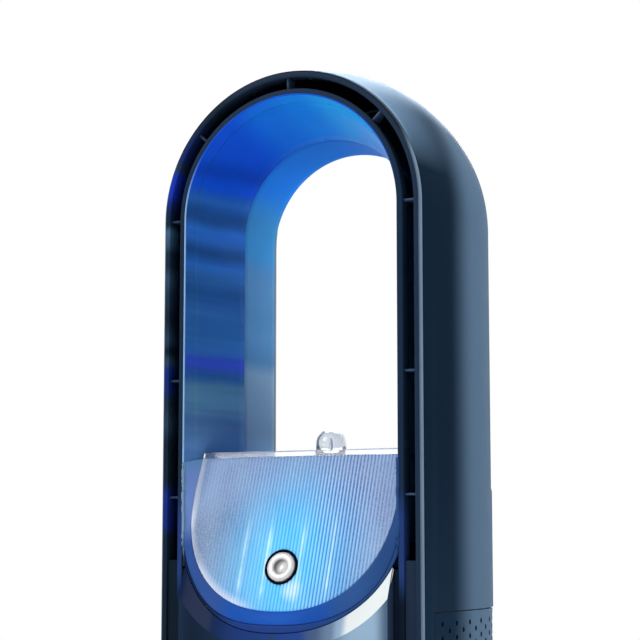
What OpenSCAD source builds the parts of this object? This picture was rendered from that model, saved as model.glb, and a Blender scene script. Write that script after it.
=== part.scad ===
// Bladeless tower fan: a tall loop on an oscillating column.
// Origin at the middle of the foot's underside, +Z up, the front faces -Y.

/* [Loop] */
// Width of the loop and of the column under it
loop_w = 240; // [230:2:250]
// Depth of the loop from its front rim to its rear edge
loop_d = 180; // [174:2:190]
// Height of the arch's centre above the floor
arch_z = 744; // [724:4:784]
// How far the crown rises behind the front rim
crown_rise = 18; // [8:2:24]
// Depth at which the crown stops rising
crown_peak = 125; // [100:5:150]
// How far the crown falls again at the rear edge
crown_fall = 12; // [4:2:16]
// How far each side draws in at the rear edge
side_taper = 12; // [6:1:14]
// Wall of the moulded casings
wall = 3; // [2.4:0.2:3.4]

/* [Front rim] */
// Width of the bright trim line on the outer corner
trim_w = 2.5; // [2:0.1:3]
// Width of the outer rim with its trim
outer_rim_w = 5.3; // [4.9:0.1:5.8]
// Width of the air slot
slot_w = 10; // [8:0.5:12]
// Width of the inner rim
inner_rim_w = 5.2; // [4.6:0.2:6]
// Depth of both rims behind the front plane
rim_d = 12; // [10:1:14]
// Depth of the sleeve that carries the outer rim in the shell
sleeve_d = 16; // [15:1:20]
// Distance from the arch's centre down to the end of the slot
slot_drop = 289; // [280:1:294]
// Thickness of the bars that bridge the slot
rib_t = 1.8; // [1.4:0.2:2.4]
// Depth of the bars that bridge the slot
rib_d = 9; // [6:1:10]

/* [Opening] */
// How far the flared wall narrows towards the crease
flare_in = 16; // [13:1:18]
// Depth of the flared wall
flare_d = 76.6; // [70:0.2:84]
// Depth of the straight throat behind the crease
throat_d = 56; // [50:1:60]
// How far the flare's crown drops towards the crease
flare_sink = 8; // [4:1:10]
// How far the throat's crown drops towards the rear
throat_sink = 2.6; // [1:0.2:4]
// Distance from the arch's centre down to the deck
deck_drop = 203; // [195:1:206]
// Thickness of the deck
deck_t = 3; // [2:0.5:4]
// Height of the lower ends of the inner walls over the seam
duct_mouth = 56; // [48:2:64]

/* [Ribbed panel] */
// Gap between the panel's side and the inner rim's wall
panel_gap = 4.3; // [4:0.1:6.5]
// Length of the panel up its own plane
panel_l = 133.8; // [130:0.2:136]
// Height of the panel's rounded bottom
panel_bend = 104; // [90:2:115]
// Roundness of the bottom, 2 being an ellipse
panel_round = 2.3; // [2:0.1:2.6]
// How much narrower each side is at the top edge
panel_draw = 1.8; // [1.4:0.2:3]
// Thickness of the panel over its ribs
panel_t = 4; // [3:0.5:5]
// Angle at which the panel leans back
lean = 19.3; // [17:0.5:21]
// Distance of the panel's bottom from the arch's centre
panel_drop = 329.3; // [326:0.5:332]
// How far the panel's bottom lies in front of the rim
panel_fwd = 22; // [20:0.5:23]
// Height of the clear strip on the top edge
strip_h = 5; // [3:0.5:8]
// Depth of the light box behind the panel
light_d = 20; // [19:1:24]
// Width of the flange round the light box
light_flange = 8; // [7:0.5:10]
// Width of the surround below the panel
lip_w = 17; // [14:0.5:18]
// Roundness of the surround's outer edge
lip_round = 2.3; // [2:0.1:2.6]
// Radius of the clear dome on the deck
dome_r = 13; // [10:0.5:16]
// Depth of the clear dome's centre behind the rim
dome_at = 81; // [70:1:100]

/* [Button] */
// Radius of the push button
button_r = 12.5; // [11:0.5:13]
// Height of the button's centre up the panel
button_up = 37; // [34:0.5:44]
// How far the button travels
button_travel = 2; // [1:0.25:2.25]
// Width of the black gasket round the button
gasket_w = 2; // [1.5:0.1:2.4]

/* [Column] */
// Depth of the column from the front rim plane to its back
back_d = 210; // [204:1:214]
// How far the front cover bulges before the rim plane
front_bulge = 26; // [25:0.5:28]
// Distance from the arch's centre down to the shell's lower seam
seam_drop = 330; // [328:1:340]
// Width of the plain strip in front of the intake grilles
strip_d = 25; // [22:1:28]
// Height of the skirt's top edge
skirt_z = 60; // [52:2:66]
// Height of the column's lower edge
column_z = 28.5; // [28.4:0.1:29]
// Thickness of the pleated intake filters
filter_t = 8; // [6:0.5:10]
// Across flats of the intake holes
intake_hole = 8; // [6:0.5:9]
// Spacing of the intake holes
intake_pitch = 30; // [26:1:34]

/* [Blower] */
// Inner radius of the blower housing
blower_r = 72; // [70:0.5:73]
// Running gap round the impeller
tip_gap = 1; // [0.8:0.1:2]
// Height of the bell mouth above the floor
bell_z = 180; // [170:2:190]
// Number of impeller blades
blade_n = 9; // [7:1:11]
// Radius of the motor shaft
shaft_r = 3; // [2.5:0.1:3.5]
// Radius of the motor can
motor_r = 26.8; // [25:0.2:27]
// Height of the motor can
motor_h = 48; // [44:1:52]

/* [Foot] */
// Radius of the foot
foot_r = 100; // [97:1:108]
// Height of the foot over its pads
foot_h = 22; // [22:0.5:24]
// Radius of the rubber pads
pad_r = 9; // [7:0.5:11]
// Height of the rubber pads
pad_h = 3; // [2.6:0.1:3]
// Radius of the hollow pivot spindle
spindle_r = 16; // [14:0.5:17]
// Module of the oscillating gears
gear_m = 1.25; // [1.2:0.05:1.3]
// Teeth on the fixed gear
gear_teeth = 48; // [46:2:50]
// Teeth on the pinion
pinion_teeth = 12; // [12:1:13]

/* [Hidden] */

fit = 0.3;                 // gap between moulded pieces that meet
run_fit = 0.05;            // radial running clearance of a shaft
arc_steps = 48;            // steps round the arch
fine = 64;                 // facets of a turned surface
side_power = 3.6;          // how late the sides draw in
crown_power = 4;           // how late the crown falls

y0 = -(back_d - front_bulge)/2;                 // front rim plane
side_flat = strip_d;                            // depth over which the sides stay straight
seam_z = arch_z - seam_drop;
deck_z = arch_z - deck_drop;
slot_z = arch_z - slot_drop;
mouth_z = seam_z + duct_mouth;
surround_z = arch_z - panel_drop - lip_w;       // lower end of the panel's surround
inner_r = loop_w/2 - outer_rim_w - slot_w - inner_rim_w;
slot_in = inner_r + inner_rim_w;
slot_out = loop_w/2 - outer_rim_w;
crease_r = inner_r - flare_in;
rear_d = flare_d + throat_d;                    // depth of the throat's rear edge
shell_end = loop_d - wall - 1;                  // rear edge of the outer shell
rim_back = loop_w/2 - wall - 0.1;               // outer radius of the rim's sleeve
tip_w = loop_w/2 - side_taper;                  // half width at the rear tip
rear_slope = (tip_w - crease_r)/(loop_d - rear_d);
back_r = back_d - loop_d;                       // how far the back bows out
cover_w = inner_r - fit;                        // half width of the front cover
panel_w = 2*(inner_r - panel_gap);              // full width of the ribbed panel

foot_top = pad_h + foot_h;                      // top face of the foot's cover
plate_t = 4;
plate_z = foot_top + 3;                         // underside of the turntable plate
plate_top = plate_z + plate_t;

// Half width of the loop and column at depth u behind the rim plane
function half_w(u) =
    loop_w/2 - side_taper*pow(max(0, u - side_flat)/(loop_d - side_flat), side_power);
// Height of the crown over the arch's centre at depth u
function crown_h(u) =
    loop_w/2 + crown_rise*sin(90*min(1, u/crown_peak)) - crown_fall*pow(u/loop_d, crown_power);
// Radius of the opening's wall, and how far its centre has sunk, at depth u
function open_r(u) = inner_r - flare_in*min(1, u/flare_d);
function open_sink(u) =
    -flare_sink*min(1, u/flare_d) - throat_sink*max(0, u - flare_d)/throat_d;
// Front surface of the cover at half width x
function front_u(x) = -front_bulge*(1 - pow(x/inner_r, 2));

// Solid through closed rings of points, all with the same number of points
module skin(rings) {
    n = len(rings[0]);
    m = len(rings);
    polyhedron(
        points = [for (r = rings) for (p = r) p],
        faces = concat(
            [[for (i = [0:n - 1]) i]],
            [[for (i = [n - 1:-1:0]) (m - 1)*n + i]],
            [for (j = [0:m - 2]) for (i = [0:n - 1])
                [j*n + i, (j + 1)*n + i, (j + 1)*n + (i + 1)%n]],
            [for (j = [0:m - 2]) for (i = [0:n - 1])
                [j*n + i, (j + 1)*n + (i + 1)%n, j*n + (i + 1)%n]]),
        convexity = 10);
}

// One profile point [depth, half width, height, sink] placed at step j of the arch
function arch_point(p, j, low, slope) =
    j == 0 ? [p[1], y0 + p[0], low - slope*p[0]] :
    j == arc_steps + 2 ? [-p[1], y0 + p[0], low - slope*p[0]] :
    let (a = 180*(j - 1)/arc_steps)
    [p[1]*cos(a), y0 + p[0], arch_z + p[3] + p[2]*sin(a)];

// A profile swept over the arch, with legs down to the height low, which falls with depth
module arch(profile, low, slope = 0) {
    skin([for (j = [0:arc_steps + 2]) [for (p = profile) arch_point(p, j, low, slope)]]);
}

// A ring of constant section: [radius, depth] points turned over the arch, with straight legs
module rim(points, low) {
    translate([0, y0, arch_z]) {
        rotate([90, 0, 0])
            mirror([0, 0, 1])
                rotate_extrude(angle = 180, $fn = 2*arc_steps)
                    polygon(points);
        for (s = [0, 1])
            mirror([s, 0, 0])
                translate([0, 0, low - arch_z])
                    linear_extrude(arch_z - low)
                        polygon(points);
    }
}

// Point of the opening's wall at depth u, set back by t
function open_point(u, t) = [u, open_r(u) + t, open_r(u) + t, open_sink(u)];
// Point of the outer skin at depth u, set in by t
function skin_point(u, t) = [u, half_w(u) - t, crown_h(u) - t, 0];

// Depths at which the outer skin is drawn
function depths(a, b) = concat([a],
    [for (u = [side_flat, 50, 75, 100, 115, 130, 145, 155, 165, 172]) if (u > a + 1 && u < b - 1) u], [b]);

function reversed(v) = [for (i = [len(v) - 1:-1:0]) v[i]];

// Plan outline of the column behind depth a, set in by t
function plan(a, t) = concat(
    [for (u = depths(a, loop_d)) [half_w(u) - t, u]],
    [for (i = [1:23]) let (b = 180*i/24)
        [(tip_w - t)*cos(b), loop_d + (back_r - t)*sin(b)]],
    [for (u = reversed(depths(a, loop_d))) [-(half_w(u) - t), u]]);

module plan_slab(a, t, z, h) {
    translate([0, y0, z]) linear_extrude(h) polygon(plan(a, t));
}

module plan_wall(a, z, h) {
    difference() {
        plan_slab(a, 0, z, h);
        translate([0, 0, -1]) plan_slab(a - wall - 1, wall, z, h + 2);
    }
}

// Local frame of the leaning panel: x across, y up the panel, z out of its face
module on_panel() {
    translate([0, y0 - panel_fwd, arch_z - panel_drop])
        rotate([90 - lean, 0, 0])
            children();
}

// Rounded U outline with half width w, bend height h and roundness n
function u_bend(w, h, n, base, steps = 40) = [for (i = [0:steps]) let (a = 180*i/steps)
    [w*sign(cos(a))*pow(abs(cos(a)), 2/n), base + h*(1 - pow(sin(a), 2/n))]];

// Outline of the panel set in by t, up to the length l
function panel_outline(t, l) = concat(
    [[panel_w/2 - panel_draw - t, l]],
    u_bend(panel_w/2 - t, panel_bend - t, panel_round, t),
    [[-(panel_w/2 - panel_draw - t), l]]);

module panel_slab(t, l, back, front) {
    translate([0, 0, back]) linear_extrude(front - back) polygon(panel_outline(t, l));
}

// Prism along Y inside the surround's outer edge, grown by g
module surround_prism(g) {
    bottom = surround_z - g;
    side = inner_r + 8 + g;
    bend = 116;
    translate([0, y0 - front_bulge - 20, 0])
        rotate([90, 0, 0])
            mirror([0, 0, 1])
                linear_extrude(front_bulge + 60)
                    polygon(concat([[side, deck_z]], u_bend(side, bend, lip_round, bottom),
                        [[-side, deck_z]]));
}

// Plan of everything between the inner rims, from the cover's face back to the depth b
function front_plan(b, t) = concat(
    [[cover_w - t - flare_in/flare_d*b, b]],
    [for (i = [0:32]) let (x = (cover_w - t)*(1 - i/16)) [x, front_u(x) + t]],
    [[-(cover_w - t - flare_in/flare_d*b), b]]);

/* ---- loop ---- */

module outer_shell() {
    front = trim_w + 0.2;
    color("#2b3f58") {
        arch(concat([for (u = depths(front, shell_end)) skin_point(u, 0)],
            [for (u = reversed(depths(front, shell_end))) skin_point(u, wall)]),
            seam_z);
        for (s = [0, 1])
            mirror([s, 0, 0])
                translate([loop_w/2 - wall, y0 + front, column_z])
                    cube([wall, strip_d - front, seam_z - column_z]);
    }
}

module edge_trim() {
    r = loop_w/2;
    color("#8fa3b8")
        rim([[r - trim_w, 0], [r - 1, 0], [r, 1], [r, trim_w], [r - trim_w, trim_w]], column_z);
}

module outer_rim() {
    r = loop_w/2 - trim_w - 0.1;
    color("#2b3848")
        rim([[slot_out, 0], [r, 0], [r, trim_w], [rim_back, trim_w + 0.2], [rim_back, sleeve_d],
            [slot_out, sleeve_d]], column_z);
}

module inner_rim() {
    r = slot_in;
    color("#1f3a58")
        arch([[0, inner_r, inner_r, 0], [0, r, r, 0], [rim_d, r, r, open_sink(rim_d)],
            [rim_d, open_r(rim_d), open_r(rim_d), open_sink(rim_d)]], column_z);
}

// Places across the slot: angles on the arch, drops on the legs
rib_angles = [0, 45, 90, 135, 180];
rib_drops = [138, 237];
module slot_rib() {
    translate([slot_in + 0.1, 2, -rib_t/2]) cube([slot_w - 0.2, rib_d, rib_t]);
}
module slot_ribs() {
    color("#2b3848")
        translate([0, y0, arch_z]) {
            for (a = rib_angles) rotate([0, -a, 0]) slot_rib();
            for (d = rib_drops) for (s = [0, 1])
                mirror([s, 0, 0]) translate([0, 0, -d]) slot_rib();
        }
}

module slot_fillers() {
    color("#28405c")
        for (s = [0, 1])
            mirror([s, 0, 0])
                translate([slot_in + 0.2, y0 + 2, column_z])
                    difference() {
                        cube([slot_w - 0.4, rim_d - 2, slot_z - column_z]);
                        translate([2, 2, -1]) cube([slot_w - 4.4, rim_d, slot_z - column_z - 2]);
                    }
}

module flare_liner() {
    a = rim_d + 0.2;
    color("#2f6fb4")
        arch([open_point(a, 0), open_point(a, wall), open_point(flare_d, wall),
            open_point(flare_d, 0)], mouth_z);
}

module throat_liner() {
    a = flare_d + 0.2;
    color("#4a80b4")
        arch([open_point(a, 0), open_point(a, wall), open_point(rear_d, wall),
            open_point(rear_d, 0)], mouth_z);
}

module rear_ring() {
    a = rear_d + 0.2;
    b = shell_end + 0.2;
    color("#25384f")
        arch([[a, crease_r, crease_r, open_sink(a)], [a, crease_r + wall, crease_r + wall, open_sink(a)],
            [b, half_w(b) - wall, crown_h(b) - wall, 0], skin_point(b, 0), skin_point(loop_d, 0)],
            deck_z + rear_slope*a, rear_slope);
}

// Solid below the slanted plane that closes the opening's foot, from t under it down by h
module rear_wedge(t, h) {
    a = rear_d + 0.2;
    translate([-loop_w/2, y0 + a, deck_z - t])
        rotate([-atan(rear_slope), 0, 0])
            translate([0, -wall, -h]) cube([loop_w, 2*back_d, h]);
}

module rear_sill() {
    a = rear_d + 0.2;
    b = shell_end + 0.2;
    half = tip_w - wall - fit;
    low = deck_z - rear_slope*(back_d - a) - 2*wall;
    color("#25384f")
        intersection() {
            rear_wedge(0.1, wall);
            translate([0, y0, low])
                linear_extrude(deck_z - low)
                    polygon(concat([[half, a], [half, b]], plan(b, 0), [[-half, b], [-half, a]]));
        }
}

module rear_panel() {
    a = shell_end + 0.2;
    top = deck_z + 20;
    color("#2b3f58")
        difference() {
            plan_wall(a, seam_z + fit, top - seam_z);
            difference() {
                translate([-loop_w/2, y0 + rear_d, seam_z]) cube([loop_w, back_d, top]);
                rear_wedge(wall + 2*fit, 300);
            }
        }
}

module opening_deck() {
    front = deck_front();
    color("#3d74ac")
        translate([0, y0, deck_z - deck_t])
            linear_extrude(deck_t)
                polygon([[open_r(front) - fit, front], [crease_r - fit, flare_d], [crease_r - fit, rear_d],
                    [-(crease_r - fit), rear_d], [-(crease_r - fit), flare_d],
                    [-(open_r(front) - fit), front]]);
}
// Depth at which the deck starts, just behind the panel's back
function deck_front() = -panel_fwd + (panel_drop - deck_drop)*tan(lean) + panel_t/cos(lean) + 0.6;

/* ---- ribbed panel, its surround and its light ---- */

module panel_surround() {
    b = rim_d + 2;
    color("#2a55b0")
        difference() {
            intersection() {
                surround_prism(0);
                translate([0, y0, column_z])
                    linear_extrude(deck_z - 20 - column_z)
                        polygon(front_plan(b, 0));
            }
            on_panel() panel_slab(-0.4, panel_l + 40, -60, 60);
            cylinder(r = diffuser_r + housing_t + fit, h = housing_top + flange_t + fit, $fn = 2*fine);
        }
}

module ribbed_panel() {
    color("#8cc8f8", 0.8)
        on_panel()
            difference() {
                panel_slab(0, panel_l, -panel_t, 0);
                translate([0, button_up, -panel_t - 1])
                    cylinder(r = gasket_r + fit, h = panel_t + 2, $fn = fine);
            }
}

module panel_strip() {
    half = panel_w/2 - panel_draw - 0.5;
    color("#d8e4ee", 0.5)
        on_panel()
            translate([-half, panel_l, -panel_t]) cube([2*half, strip_h, panel_t]);
}

dome_wall = 1.6;
module clear_dome() {
    color("#dfe8f0", 0.4)
        translate([0, y0 + dome_at, deck_z])
            rotate_extrude($fn = fine)
                difference() {
                    union() {
                        translate([0, dome_r]) circle(r = dome_r);
                        square([dome_r, dome_r]);
                    }
                    translate([0, dome_r]) circle(r = dome_r - dome_wall);
                    translate([0, -1]) square([dome_r - dome_wall, dome_r + 1]);
                    translate([-2*dome_r, -1]) square([2*dome_r, 4*dome_r]);
                }
}

module dome_stem() {
    stem_r = 2.2;
    color("#c8d0d8")
        translate([0, y0 + dome_at, deck_z]) {
            cylinder(r = 6, h = 3, $fn = fine);
            cylinder(r = stem_r, h = 1.2*dome_r, $fn = fine);
            translate([0, 0, 1.2*dome_r]) cylinder(r1 = stem_r, r2 = 0.6, h = 2.6, $fn = fine);
        }
}

light_front = -panel_t - fit;
light_back = light_front - light_d;
light_l = panel_l - 2.8;                        // length of the light box, under the deck
board_t = 1.6;
module light_box() {
    skin_t = 2;
    color("#e8ecf0")
        on_panel()
            difference() {
                union() {
                    panel_slab(0.5, light_l, light_front - 2.4, light_front);
                    panel_slab(light_flange, light_l, light_back, light_front);
                }
                panel_slab(light_flange + skin_t, light_l - skin_t, light_back + skin_t, light_front + 1);
            }
}

board_front = light_back + 2 + board_t + 0.1;
module light_board() {
    color("#f0f0ea")
        on_panel()
            panel_slab(light_flange + 2.5, light_l - 2.5, board_front - board_t, board_front);
}

module led_chips() {
    led = 3.5;
    pitch = 22;
    color("#fff4c0")
        on_panel()
            for (i = [-3:3]) for (j = [1:5])
                if (abs(i) + 1.2*max(0, 3 - j) < 4.3 && !(i == 0 && j < 3))
                    translate([i*pitch - led/2, j*pitch - led/2, board_front])
                        cube([led, led, 1.2]);
}

gasket_r = button_r + 0.4 + gasket_w;           // outer radius of the gasket
housing_front = -panel_t - 1;
cap_back = -10;                                 // back of the button's cap
switch_h = 3;
stem_back = board_front + switch_h + button_travel + fit;
module silver_button() {
    dish = 13;
    proud = 2.4;
    color("#e4e0dc")
        on_panel()
            translate([0, button_up, 0]) {
                difference() {
                    union() {
                        translate([0, 0, cap_back])
                            cylinder(r = button_r, h = proud - 1 - cap_back, $fn = fine);
                        translate([0, 0, proud - 1])
                            cylinder(r1 = button_r, r2 = button_r - 1.4, h = 1, $fn = fine);
                    }
                    translate([0, 0, proud + dish - 1.6]) sphere(r = dish, $fn = fine);
                }
                translate([0, 0, stem_back]) cylinder(r = 3, h = cap_back - stem_back, $fn = fine);
            }
}

module gasket_tube(back, front) {
    on_panel()
        translate([0, button_up, back])
            difference() {
                cylinder(r = gasket_r, h = front - back, $fn = fine);
                translate([0, 0, -1])
                    cylinder(r = gasket_r - gasket_w, h = front - back + 2, $fn = fine);
            }
}
module button_gasket() { color("#0a0c14") gasket_tube(housing_front, 1.2); }
module button_housing() { color("#d0d4da") gasket_tube(board_front, housing_front); }

module button_switch() {
    color("#30343a")
        on_panel()
            translate([-4, button_up - 4, board_front]) cube([8, 8, switch_h]);
}

// Ring of the spring's wire at step k of the coil
spring_r = 8;
wire_r = 0.5;
spring_turns = 4;
module button_spring() {
    low = board_front + wire_r + 0.1;
    high = cap_back - button_travel - wire_r - 0.2;
    steps = 16;
    color("#b8bcc0")
        on_panel()
            translate([0, button_up, 0])
                skin([for (k = [0:steps*spring_turns])
                    let (a = 360*k/steps, h = low + (high - low)*k/(steps*spring_turns))
                    [for (i = [7:-1:0]) let (b = 45*i, q = spring_r + wire_r*cos(b))
                        [q*cos(a), q*sin(a), h + wire_r*sin(b)]]]);
}

/* ---- column ---- */

module front_cover() {
    top = deck_z - 30;
    color("#5a7898")
        difference() {
            translate([0, y0, column_z])
                linear_extrude(top - column_z)
                    polygon(front_plan(rim_d, 0));
            translate([0, y0, column_z - 1])
                linear_extrude(top - column_z + 2)
                    polygon(concat([[cover_w - wall - 4, rim_d + 1]],
                        [for (i = [0:32]) let (x = (cover_w - wall)*(1 - i/16)) [x, front_u(x) + wall]],
                        [[-(cover_w - wall - 4), rim_d + 1]]));
            surround_prism(fit);
        }
}

// Staggered hexagonal intake holes over one half of the column
module intake_holes() {
    first_z = skirt_z + intake_pitch/2 + 6;
    rows = floor((seam_z - first_z - 8)/(intake_pitch/2));
    cols = floor((loop_d - strip_d - 30)/intake_pitch);
    for (k = [0:rows]) let (odd = k%2) {
        z = first_z + k*intake_pitch/2;
        for (i = [0:cols - odd])
            translate([loop_w/2 - 30, y0 + strip_d + 18 + (i + odd/2)*intake_pitch, z])
                rotate([0, 90, 0]) cylinder(d = intake_hole, h = 60, $fn = 6);
        for (i = [0:2 - odd])
            translate([16 + (i + odd/2)*intake_pitch, y0 + loop_d - 10, z])
                rotate([-90, 0, 0]) cylinder(d = intake_hole, h = 60, $fn = 6);
    }
}

module right_half(a) {
    intersection() {
        children();
        translate([a, y0 - 10, 0]) cube([loop_w, back_d + 40, arch_z]);
    }
}

module grille() {
    color("#2b3f58")
        difference() {
            right_half(fit/2) plan_wall(strip_d + fit, skirt_z + fit, seam_z - skirt_z - 2*fit);
            intake_holes();
        }
}
module right_grille() grille();
module left_grille() mirror([1, 0, 0]) grille();

module filter() {
    a = strip_d + 9;
    low = skirt_z + 2;
    high = seam_z - 12;
    color("#eef0ee")
        right_half(2)
            difference() {
                plan_slab(a, wall + fit, low, high - low);
                translate([0, 0, -1])
                    plan_slab(a - 20, wall + fit + filter_t, low, high - low + 2);
            }
}
module right_filter() filter();
module left_filter() mirror([1, 0, 0]) filter();

module skirt() {
    color("#2b3f58") plan_wall(strip_d + fit, column_z, skirt_z - column_z);
}

ring_t = 8;
ring_w = 12;
ring_top = seam_z - 2;                          // top of the chassis's upper ring
chassis_front = sleeve_d + fit;
post_r = 6;
posts = [[88, 46], [84, 170]];                  // across, depth
module chassis_ring(z, h) {
    difference() {
        plan_slab(chassis_front, wall + fit, z, h);
        translate([0, 0, -1])
            plan_slab(chassis_front + ring_w, wall + fit + ring_w, z, h + 2);
    }
}
module chassis_front_block(back, h) {
    front_w = 150;
    translate([-front_w/2, y0 + 2, plate_top]) cube([front_w, back - 2, h]);
}
module chassis() {
    color("#3a3f46") difference() {
      union() {
        chassis_ring(plate_top, skirt_z - 1 - plate_top);
        chassis_ring(ring_top - ring_t, ring_t);
        chassis_front_block(2 + wall, surround_z - fit - plate_top);
        chassis_front_block(chassis_front + 1, ring_t);
        for (s = [-1, 1]) for (p = posts)
            translate([s*p[0], y0 + p[1], plate_top])
                cylinder(r = post_r, h = ring_top - plate_top, $fn = 32);
        for (s = [-1, 1]) for (p = posts) for (z = [plate_top, ring_top - ring_t])
            mirror([s < 0 ? 1 : 0, 0, 0])
                translate([p[0], y0 + p[1] - post_r, z])
                    cube([half_w(p[1]) - wall - fit - ring_w + 4 - p[0], 2*post_r, ring_t]);
      }
      translate([0, 0, ring_top - ring_t - 1])
          cylinder(r = diffuser_r + housing_t + fit, h = ring_t + 2, $fn = 2*fine);
      translate([0, -gear_gap - osc_offset, plate_top - 1])
          cylinder(r = osc_r + 2, h = osc_h + 2, $fn = fine);
      post_screw(screw_r + 0.1, 1);
    }
}

screw_r = 2;
screw_l = 12;
module post_screw(r, g) {
    for (s = [-1, 1]) for (p = posts)
        translate([s*p[0], y0 + p[1], plate_z - 2]) {
            translate([0, 0, 1]) cylinder(r = r, h = screw_l + g, $fn = 24);
            if (g == 0) cylinder(r = 2*screw_r, h = 1.9, $fn = 24);
        }
}
module chassis_screws() {
    color("#b0b4b8") post_screw(screw_r, 0);
}

housing_t = 2.5;
housing_top = ring_top;
flange_t = 2;
diffuser_r = 84;
bell_flare = 10;                                // how far the inlet's lip flares
module blower_housing() {
    in = [[blower_r + bell_flare, bell_z], [blower_r + 3, bell_z + 3],
        [blower_r, bell_z + bell_flare + 2],
        [blower_r, vane_top + 4], [diffuser_r, housing_top]];
    color("#4a5058") {
        translate([0, 0, 0])
            rotate_extrude($fn = 2*fine)
                polygon(concat(in, [for (i = [4:-1:0]) in[i] + [housing_t, 0]]));
        difference() {
            plan_slab(chassis_front, wall + fit, housing_top, flange_t);
            translate([0, 0, housing_top - 1]) cylinder(r = diffuser_r, h = flange_t + 2, $fn = 2*fine);
        }
    }
}

splitter_at = 44;                               // depth of the splitter's front edge
module air_splitter() {
    apex = seam_z + 10;
    half = crease_r + wall;
    top = mouth_z - fit;
    color("#4a5058")
        translate([0, y0 + rear_d, 0])
            rotate([90, 0, 0])
                linear_extrude(rear_d - splitter_at)
                    polygon([[0, apex], [half, top - wall], [half, top], [half - wall, top],
                        [0, apex + wall + 1], [-(half - wall), top], [-half, top], [-half, top - wall]]);
}

/* ---- blower ---- */

imp_z = bell_z + 22;                            // lower end of the impeller
imp_h = 62;
motor_z = imp_z + imp_h + 12;
hub_t = 3;
hub_r = motor_r + 3.2;                          // inner radius of the stator's hub
vane_z = motor_z - 2;
vane_h = motor_h + 8;
vane_top = vane_z + vane_h;
vane_n = 8;
module stator_vanes() {
    ring = 2.5;
    color("#5a6068")
        translate([0, 0, vane_z]) {
            difference() {
                cylinder(r = hub_r + hub_t, h = vane_h, $fn = fine);
                translate([0, 0, -1]) cylinder(r = hub_r, h = vane_h - 2, $fn = fine);
            }
            difference() {
                cylinder(r = blower_r - 0.1, h = vane_h, $fn = 2*fine);
                translate([0, 0, -1]) cylinder(r = blower_r - ring, h = vane_h + 2, $fn = 2*fine);
            }
            for (i = [0:vane_n - 1])
                rotate([0, 0, 360*i/vane_n])
                    translate([hub_r + hub_t - 1, -1, 6])
                        cube([blower_r - ring - hub_r - hub_t + 2, 2, vane_h - 12]);
        }
}

module motor_isolators() {
    color("#181a1c")
        for (z = [motor_z + 4, motor_z + motor_h - 12])
            translate([0, 0, z])
                difference() {
                    cylinder(r = hub_r - 0.2, h = 8, $fn = fine);
                    translate([0, 0, -1]) cylinder(r = motor_r + 0.2, h = 10, $fn = fine);
                }
}

can_t = 2;
bearing_r = 8;
bearing_h = 5;
module motor_can() {
    color("#9aa0a6")
        translate([0, 0, motor_z])
            difference() {
                cylinder(r = motor_r, h = motor_h, $fn = fine);
                translate([0, 0, bearing_h + can_t])
                    cylinder(r = motor_r - can_t, h = motor_h - 2*(bearing_h + can_t), $fn = fine);
                translate([0, 0, -1]) cylinder(r = bearing_r, h = motor_h + 2, $fn = fine);
            }
}

module motor_winding() {
    color("#b87333")
        translate([0, 0, motor_z + bearing_h + can_t + 3])
            difference() {
                cylinder(r = motor_r - can_t - 0.2, h = motor_h - 2*(bearing_h + can_t + 3), $fn = fine);
                translate([0, 0, -1]) cylinder(r = 15.5, h = motor_h, $fn = fine);
            }
}

module motor_bearings() {
    color("#c8ccd0")
        for (z = [motor_z + 1, motor_z + motor_h - 1 - bearing_h])
            translate([0, 0, z])
                difference() {
                    cylinder(r = bearing_r - 0.1, h = bearing_h, $fn = fine);
                    translate([0, 0, -1])
                        cylinder(r = shaft_r + run_fit, h = bearing_h + 2, $fn = fine);
                }
}

module rotor_shaft() {
    nut_r = 7;
    color("#d0d4d8")
        translate([0, 0, imp_z - 6]) {
            cylinder(r = shaft_r, h = motor_z + motor_h + 2 - imp_z + 6, $fn = fine);
            cylinder(r = nut_r, h = 6, $fn = 6);
        }
}

module rotor_core() {
    h = motor_h - 2*(bearing_h + can_t + 4);
    color("#707880")
        translate([0, 0, motor_z + (motor_h - h)/2])
            difference() {
                cylinder(r = 14.5, h = h, $fn = fine);
                translate([0, 0, -1]) cylinder(r = shaft_r, h = h + 2, $fn = fine);
            }
}

module impeller() {
    tip = blower_r - tip_gap;
    sweep = 38;
    color("#20262c")
        translate([0, 0, imp_z]) {
            difference() {
                cylinder(r1 = 14, r2 = hub_r + hub_t - 1, h = imp_h, $fn = fine);
                translate([0, 0, -1]) cylinder(r = shaft_r, h = imp_h + 2, $fn = fine);
            }
            for (i = [0:blade_n - 1])
                rotate([0, 0, 360*i/blade_n])
                    translate([0, 0, 3])
                        linear_extrude(imp_h - 8, twist = -sweep, slices = 6)
                            translate([11, -1]) square([tip - 11, 2]);
        }
}

/* ---- control and oscillation ---- */

board_z = bell_z + 70;                          // lower edge of the control board
module control_board() {
    off = 6;
    bw = 60;
    bh = 90;
    color("#1f6a3a")
        translate([0, y0 + 2, board_z]) {
            translate([-bw/2, -off - board_t, 0]) cube([bw, board_t, bh]);
            for (x = [-bw/2 + 5, bw/2 - 5]) for (z = [5, bh - 5])
                translate([x, 0, z]) rotate([90, 0, 0]) cylinder(r = 2.5, h = off + 0.01, $fn = 24);
            translate([-bw/2 + 6, -off - board_t - 12, 12]) cube([20, 12, 26]);
            translate([2, -off - board_t - 6, 40]) cube([18, 6, 18]);
        }
}

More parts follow.
